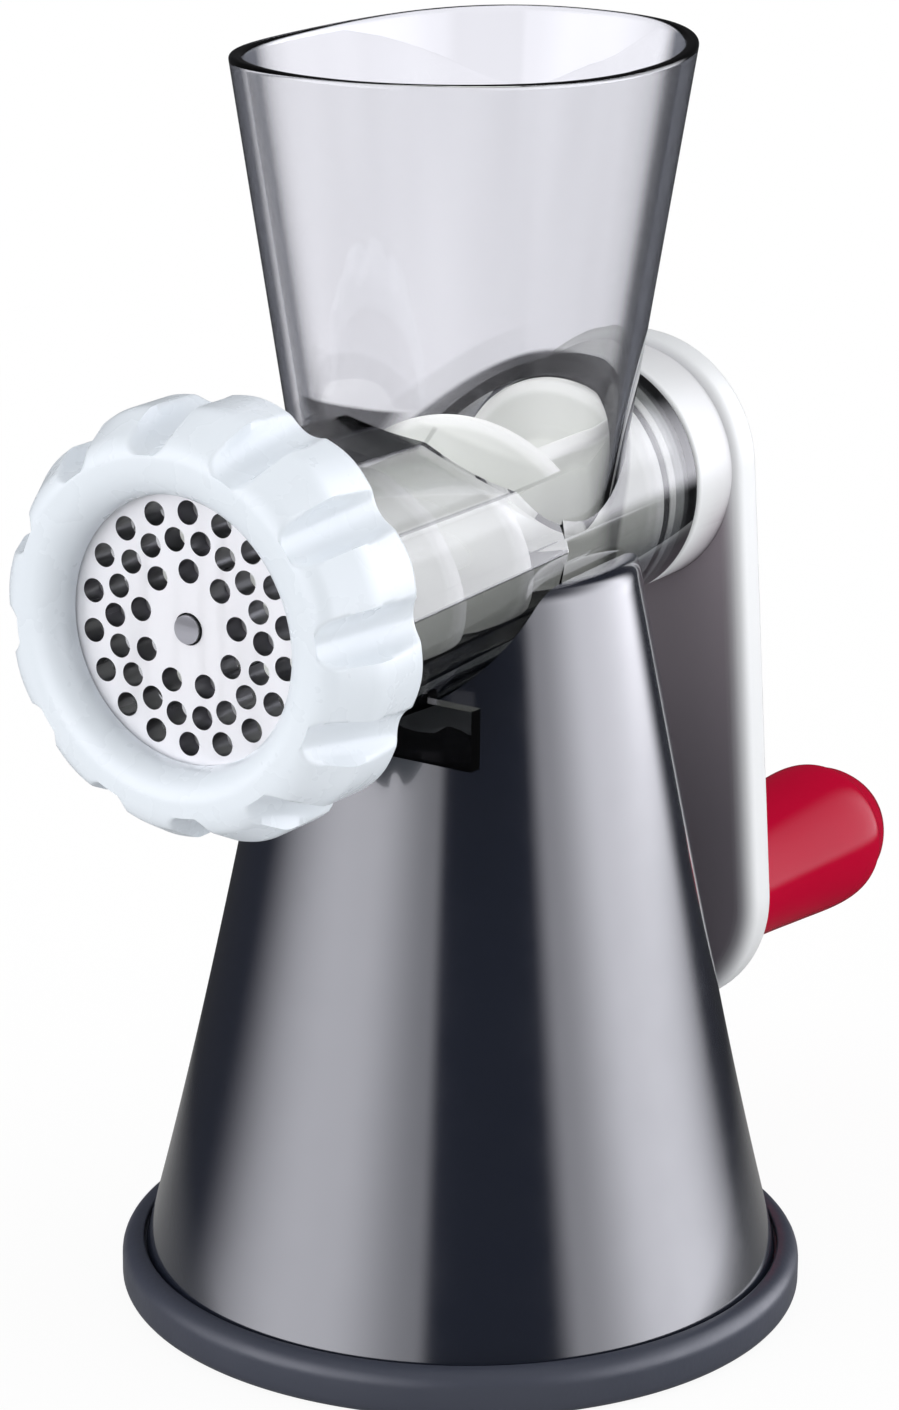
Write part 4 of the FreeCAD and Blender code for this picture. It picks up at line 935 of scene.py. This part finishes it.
bore_line = [
    (0, MOUTH_Y - 1), (PLATE_SEAT, MOUTH_Y - 1), (PLATE_SEAT, SHOULDER_Y), (BORE_FRONT, SHOULDER_Y),
    (BORE_REAR, REAR_Y), (BORE_REAR, REAR_Y + 1), (0, REAR_Y + 1),
]
hollow = turned_y("bore", bore_line)
combine(hollow, hopper_form("hopper_inside", HOPPER_WALL, rim_inner), "UNION")
combine(moulding, hollow, "DIFFERENCE")
finish_piece(moulding, clear_smoke, "stand", "clear_plastic", "hopper_body", sharp=12)

# %% [markdown]
# ## Outlet
# The ring nut is a soft white ring with twelve grip scallops. Cylinders could cut the scallops, but leave
# hard edges. So its surface follows one formula: a rounded profile spun round the axis, and pulled in softly
# where a tilted groove crosses it.

# %% Ring profile
RING_FACE = -96.6
RING_BACK = -73.6
RING_RADIUS = 39.6
RING_MOUTH = 24.4
RING_BORE = 32.05
PLATE_FACE = -89.3
LOBES = 12
FIRST_SCALLOP = radians(7)
GROOVE_RADIUS = 4.5
GROOVE_FLOOR_BACK = 37.0
GROOVE_FLOOR_FRONT = 31.8
SOFTNESS = 1.3
CROWN = 1.0
CROWN_RAMP = (33, 39)
RING_SPIN = 480

ring_line = rounded([
    (RING_BORE, PLATE_FACE - 0.1, 0.3), (RING_MOUTH, PLATE_FACE - 0.1, 0.6), (RING_MOUTH, RING_FACE, 5.6),
    (34.5, RING_FACE, 5.0), (RING_RADIUS, RING_FACE + 9.5, 6.5), (RING_RADIUS, RING_BACK, 1.8),
    (RING_BORE, RING_BACK, 0.6),
], steps=14)


def subdivided(line, longest):
    """Split long straight stretches of a closed line."""
    result = []
    for here, after in zip(line, line[1:] + line[:1]):
        parts = max(1, ceil((after - here).length / longest))
        result += [here.lerp(after, part / parts) for part in range(parts)]
    return result


print("ring profile points:", len(ring_line))


# %% Ring nut
def scalloped(radius, y, turn):
    """The ring's radius where a grip groove pulls it in, with a soft edge between the two."""
    pitch = 2 * pi / LOBES
    offset = (turn - FIRST_SCALLOP + pitch / 2) % pitch - pitch / 2
    radius -= CROWN * cos(pi * offset / pitch) ** 2 * share_between(radius, *CROWN_RAMP)
    share = (RING_BACK - y) / (RING_BACK - RING_FACE)
    floor = GROOVE_FLOOR_BACK + (GROOVE_FLOOR_FRONT - GROOVE_FLOOR_BACK) * share
    centre = floor + GROOVE_RADIUS
    side = centre * sin(offset)
    if abs(side) >= GROOVE_RADIUS:
        return radius
    groove = centre * cos(offset) - sqrt(GROOVE_RADIUS ** 2 - side ** 2)
    blend = max(SOFTNESS - abs(radius - groove), 0) / SOFTNESS
    return min(radius, groove) - blend * blend * SOFTNESS / 4


ring_rows = []
for radius, y in subdivided(ring_line, 0.8):
    row = []
    for turn in full_turn(RING_SPIN):
        reach = scalloped(radius, y, turn) if radius > RING_BORE + 0.3 else radius
        row.append((reach * cos(turn), y, AXIS_Z + reach * sin(turn)))
    ring_rows.append(row)
ring = skin("ring_nut", ring_rows, loop=True)
finish_piece(ring, ring_white, "ring", "white_plastic", "outlet_ring", sharp=60)

# %% [markdown]
# The hole plate is a steel disc with three circles of holes. Each hole could be cut on its own. Here Geometry
# Nodes put drills on three circles of points and cut them from the disc in one go, so that the tree's inputs
# hold all sizes and counts. The drills leave a dark steel on the walls of the holes, which is painted shade
# inside them.

# %% Drilled disc
PLATE_THICK = 4.5
PLATE_SIZES = {"Disc Radius": 27.0, "Thickness": PLATE_THICK, "Hole Radius": 2.2, "Centre Hole": 2.95}
PLATE_ROWS = (("Inner", 10.46, 9, 89.4), ("Middle", 15.98, 18, 120.3), ("Outer", 20.95, 18, 130.0))
DRILL_LENGTH = 3.0


def build_drilled_disc():
    tree = new_shape_tree("drilled_disc")
    for name, value in PLATE_SIZES.items():
        tree_input(tree, name, value * MM)
    for row, radius, count, first in PLATE_ROWS:
        tree_input(tree, row + " Radius", radius * MM)
        tree_input(tree, row + " Count", count, "Int")
        tree_input(tree, row + " Turn", radians(first))
    tree_input(tree, "Finish", plate_steel, "Material")
    given = new_node(tree, "NodeGroupInput").outputs

    def cylinder(radius_name, sides, depth_scale):
        depth = product(tree, given["Thickness"], depth_scale)
        return result_of(tree, "GeometryNodeMeshCylinder", Vertices=sides, Radius=given[radius_name],
                         Depth=depth)

    def painted(shape, finish):
        return result_of(tree, "GeometryNodeSetMaterial", Geometry=shape, Material=finish)

    disc = painted(cylinder("Disc Radius", 160, 1.0), given["Finish"])
    drill = painted(cylinder("Hole Radius", 36, DRILL_LENGTH), shaded_hole_steel)
    drills = new_node(tree, "GeometryNodeJoinGeometry")
    for row, *_ in PLATE_ROWS:
        circle = result_of(tree, "GeometryNodeMeshCircle", Vertices=given[row + " Count"],
                           Radius=given[row + " Radius"])
        spin = result_of(tree, "ShaderNodeCombineXYZ", Z=given[row + " Turn"])
        turned = result_of(tree, "GeometryNodeTransform", Geometry=circle, Rotation=spin)
        spread = result_of(tree, "GeometryNodeInstanceOnPoints", Points=turned, Instance=drill)
        tree.links.new(spread, drills.inputs[0])
    tree.links.new(painted(cylinder("Centre Hole", 48, DRILL_LENGTH), shaded_hole_steel), drills.inputs[0])
    real = result_of(tree, "GeometryNodeRealizeInstances", Geometry=drills.outputs[0])
    cut = new_node(tree, "GeometryNodeMeshBoolean", operation="DIFFERENCE", solver="EXACT")
    tree.links.new(disc, cut.inputs["Mesh 1"])
    tree.links.new(real, cut.inputs["Mesh 2"])
    whole = result_of(tree, "GeometryNodeRealizeInstances", Geometry=cut.outputs["Mesh"])
    tree.links.new(whole, new_node(tree, "NodeGroupOutput").inputs[0])
    return tree


disc_tree = build_drilled_disc()
print("disc nodes:", len(disc_tree.nodes))

# %% Hole plate
plate = add_object("drilled_plate", bpy.data.meshes.new("drilled_plate"))
plate.modifiers.new("drilling", "NODES").node_group = disc_tree
bake_modifiers(plate)
place_along_y(plate, PLATE_FACE + PLATE_THICK / 2)
finish_piece(plate, None, "plate", "steel", "hole_plate", sharp=30)

# %% [markdown]
# ## Auger
# The auger is a double-start screw: a core with two flights wound round it, a rear disc, and straight webs
# that meet the disc. A flight could be a twisted sheet with a thickness. Here it is a strip with a rounded
# crest carried along the helix, because the crest is what shows through the clear wall.

# %% Flights and webs
LEAD = 48.0
FLIGHT_FRONT = -74.5
FLIGHT_REAR = 3.0
FLIGHT_THICK = 3.2
DISC_FRONT = 30.0
DISC_REAR = 37.5
AUGER_REST = radians(116.25)
WEB_TURN = -AUGER_REST - (FLIGHT_REAR - FLIGHT_FRONT - FLIGHT_THICK) / LEAD * 2 * pi
TIP_GAP = 1.1
CREST_ROUND = 1.1
FLIGHT_ROOT = 6
WEB_ROOT = 4
SEAL_FLOOR = 19.45
SEAL_HALF = 1.25


def bore_radius(y):
    return BORE_FRONT + (BORE_REAR - BORE_FRONT) * (y - SHOULDER_Y) / (REAR_Y - SHOULDER_Y)


def strip(root, y):
    """The outline of a flight or a web, as (distance from the axis, place across its thickness)."""
    half = FLIGHT_THICK / 2
    tip = bore_radius(y) - TIP_GAP
    corners = [(root, -half), (tip, -half, CREST_ROUND), (tip, half, CREST_ROUND), (root, half)]
    return rounded(corners, steps=5)


def flight(name, start_turn):
    """One flight: a rounded strip carried along a helix."""
    half = FLIGHT_THICK / 2
    rings = []
    for y in np.linspace(FLIGHT_FRONT + half, FLIGHT_REAR - half, 220):
        turn = start_turn - (y - FLIGHT_FRONT) / LEAD * 2 * pi
        c, s = cos(turn), sin(turn)
        rings.append([(r * c, y + a, AXIS_Z + r * s) for r, a in strip(FLIGHT_ROOT, y)])
    return skin(name, rings)


def web(name, turn):
    """A straight web from the end of a flight to the rear disc."""
    c, s = cos(turn), sin(turn)
    rings = []
    for y in np.linspace(FLIGHT_REAR - FLIGHT_THICK, DISC_FRONT + 1, 12):
        rings.append([(r * c - a * s, y, AXIS_Z + r * s + a * c) for r, a in strip(WEB_ROOT, DISC_FRONT)])
    return skin(name, rings)


print("turns of each flight:", round((FLIGHT_REAR - FLIGHT_FRONT) / LEAD, 2))

# %% Auger
groove = (DISC_FRONT + DISC_REAR) / 2
edge = bore_radius(DISC_REAR) - 0.3
core_line = rounded([
    (0, FLIGHT_FRONT), (9.0, FLIGHT_FRONT, 1.0), (10.5, DISC_FRONT, 2.5), (edge, DISC_FRONT, 0.8),
    (edge, groove - SEAL_HALF, 0), (SEAL_FLOOR, groove - SEAL_HALF), (SEAL_FLOOR, groove + SEAL_HALF),
    (edge, groove + SEAL_HALF), (edge, DISC_REAR, 0.6), (0, DISC_REAR),
])
auger = turned_y("auger_screw", core_line)
for start in range(2):
    combine(auger, flight("flight", -AUGER_REST + start * pi), "UNION")
    combine(auger, web("web", WEB_TURN + start * pi), "UNION")
finish_piece(auger, auger_ivory, "crank", "auger_white", "auger", sharp=40)

# %% [markdown]
# ## Crank
# The arm is a slim white slab with round ends, leaning a little. Its inner face holds a panel inside a soft
# white rim, and a round boss joins it to the auger. The panel and the face are painted grey as shade, which
# runs out to white across the rim. A bevelled slab would do. It is skinned over outlines that step round its
# edge instead, because the panel can use the same outline further in.

# %% Crank arm
ARM_INNER = 57.0
ARM_OUTER = 66.0
ARM_RADIUS = 25.7
ARM_LENGTH = 89.0
ARM_LEAN = radians(4.1)
BOSS_FRONT = 44.6
BOSS_RADIUS = 24.3
PANEL_MARGIN = 3.6
PANEL_DEPTH = 2.0
ARM_EDGE = 2.6
ARM_STEPS = 64
FACE_DEPTH = 2.7
WHITE_RAMP = (21.0, 25.75)
LEAN_COS = cos(ARM_LEAN)
LEAN_SIN = sin(ARM_LEAN)


def arm_ring(radius, y):
    """The arm's round-ended outline, leaning about the auger axis."""
    ring = []
    for end, first in ((0, 0), (-ARM_LENGTH, pi)):
        for turn in np.linspace(first, first + pi, ARM_STEPS):
            x = radius * cos(turn)
            z = end + radius * sin(turn)
            ring.append((x * LEAN_COS - z * LEAN_SIN, y, AXIS_Z + x * LEAN_SIN + z * LEAN_COS))
    return ring


def mark_white(obj):
    """Store how white each point is: the inner face takes painted grey shade inside the rim, all else is
    white.
    """
    values = obj.data.attributes.new("white_share", "FLOAT", "POINT")
    for index, vertex in enumerate(obj.data.vertices):
        x, y, z = vertex.co / MM
        z -= AXIS_Z
        across = x * LEAN_COS + z * LEAN_SIN
        along = z * LEAN_COS - x * LEAN_SIN
        beyond = max(along, 0) + min(along + ARM_LENGTH, 0)
        share = share_between(hypot(across, beyond), *WHITE_RAMP)
        on_face = ARM_INNER - 0.1 < y < ARM_INNER + FACE_DEPTH
        values.data[index].value = soft_step(share) if on_face else 1


recess = ARM_RADIUS - PANEL_MARGIN
arm_line = rounded([
    (recess, ARM_INNER + PANEL_DEPTH), (recess, ARM_INNER), (ARM_RADIUS, ARM_INNER, ARM_EDGE),
    (ARM_RADIUS, ARM_OUTER, ARM_EDGE), (ARM_RADIUS - 6, ARM_OUTER),
])
arm = skin("arm_slab", [arm_ring(radius, y) for radius, y in arm_line])
boss_line = rounded([
    (0, BOSS_FRONT), (BOSS_RADIUS, BOSS_FRONT, 1.2), (BOSS_RADIUS, ARM_INNER + 4), (0, ARM_INNER + 4),
])
combine(arm, turned_y("boss", boss_line), "UNION")
# The grey on the arm's inner face is painted shade, which runs to white at the rim.
mark_white(arm)
finish_piece(arm, arm_shaded, "crank", "white_plastic", "crank_arm", sharp=35)

# %% Crank panel
PANEL_FACE = ARM_INNER + 0.02
PANEL_STEPS = (0.8, 1.6, 2.4, 3.4, 5, 8, 12)
panel_edge = recess - 0.03
panel_line = [(panel_edge, ARM_INNER + PANEL_DEPTH - 0.05), (panel_edge, PANEL_FACE)]
panel_line += [(panel_edge - inset, PANEL_FACE) for inset in PANEL_STEPS]
panel = skin("arm_panel", [arm_ring(radius, y) for radius, y in panel_line])
way = BOSS_RADIUS + 0.1
way_line = [(0, ARM_INNER - 5), (way, ARM_INNER - 5), (way, ARM_INNER + 9), (0, ARM_INNER + 9)]
combine(panel, turned_y("boss_way", way_line), "DIFFERENCE")
mark_white(panel)
# The panel's grey is painted shade.
finish_piece(panel, panel_painted_shade, "crank", "grey_panel", "crank_panel")

# %% [markdown]
# The knob is a pear-shaped grip that turns on its spindle. It could be a stretched ball. A smooth line
# through a few points is spun instead, because it swells slowly to a full end, which a plug closes.

# %% Knob
KNOB_REACH = 97.5
KNOB_CENTRE = (KNOB_REACH * sin(ARM_LEAN), AXIS_Z - KNOB_REACH * cos(ARM_LEAN))
KNOB_FOOT = 67.9
KNOB_FULL = 126.4
KNOB_TIP = 143.4
KNOB_BORE = 4.05
PLUG_RADIUS = 7.5
PLUG_SEAT = 118
PLUG_BACK = 121.1
PLUG_DOME = 2.0
knob_shape = [
    (12.4, KNOB_FOOT + 0.8), (12.7, 80), (13.5, 95), (14.7, 110), (15.6, 121), (15.75, KNOB_FULL),
    (15.4, 129.6), (14.5, 131.4), (14.1, 132.6), (13.0, 136.0), (10.4, 140.6), (PLUG_RADIUS, KNOB_TIP),
]


def flowing(points, steps):
    """A smooth line through points, by Catmull-Rom spans."""
    line = []
    spots = [Vector(points[0])] + [Vector(point) for point in points] + [Vector(points[-1])]
    for a, b, c, d in zip(spots, spots[1:], spots[2:], spots[3:]):
        for step in range(steps):
            t = step / steps
            straight = 2 * b + (c - a) * t
            bend = (2 * a - 5 * b + 4 * c - d) * t ** 2
            line.append(0.5 * (straight + bend + (3 * b - a - 3 * c + d) * t ** 3))
    return line + [spots[-1]]


knob_line = [(KNOB_BORE, KNOB_FOOT), (11.7, KNOB_FOOT)] + flowing(knob_shape, 8)
knob_line += [(PLUG_RADIUS, PLUG_SEAT), (KNOB_BORE, PLUG_SEAT)]
knob = turned_y("knob_pear", knob_line, centre=KNOB_CENTRE, loop=True)
finish_piece(knob, knob_red, "knob", "red_plastic", "knob_grip", sharp=40)
plug_line = [(0, PLUG_BACK), (PLUG_RADIUS - 0.05, PLUG_BACK), (PLUG_RADIUS - 0.05, KNOB_TIP)]
for share in np.linspace(0.05, 1, 12):
    across = sqrt(max(0, 1 - share * share)) * (PLUG_RADIUS - 0.1)
    plug_line.append((across, KNOB_TIP + PLUG_DOME * share))
plug = turned_y("knob_end_plug", plug_line, centre=KNOB_CENTRE)
finish_piece(plug, knob_red, "knob", "red_plastic", "knob_plug", sharp=40)

# %% [markdown]
# ## Pieces kept from the solids
# Small and hidden pieces could be built again, but hardly show. They keep their solid shape and get a finish.

# %% Kept pieces
KEPT = {
    "inner_floor": black_plastic, "floor_screws": turned_steel, "suction_cup": foot_rubber,
    "pull_stud": turned_steel, "auger_pin": turned_steel, "cross_knife": plate_steel,
    "seal_ring": black_rubber, "crank_screw": turned_steel, "screw_cap": arm_white,
    "knob_spindle": turned_steel,
}
for name, finish in KEPT.items():
    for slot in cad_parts[name].material_slots:
        slot.material = finish
print("kept:", len(KEPT))
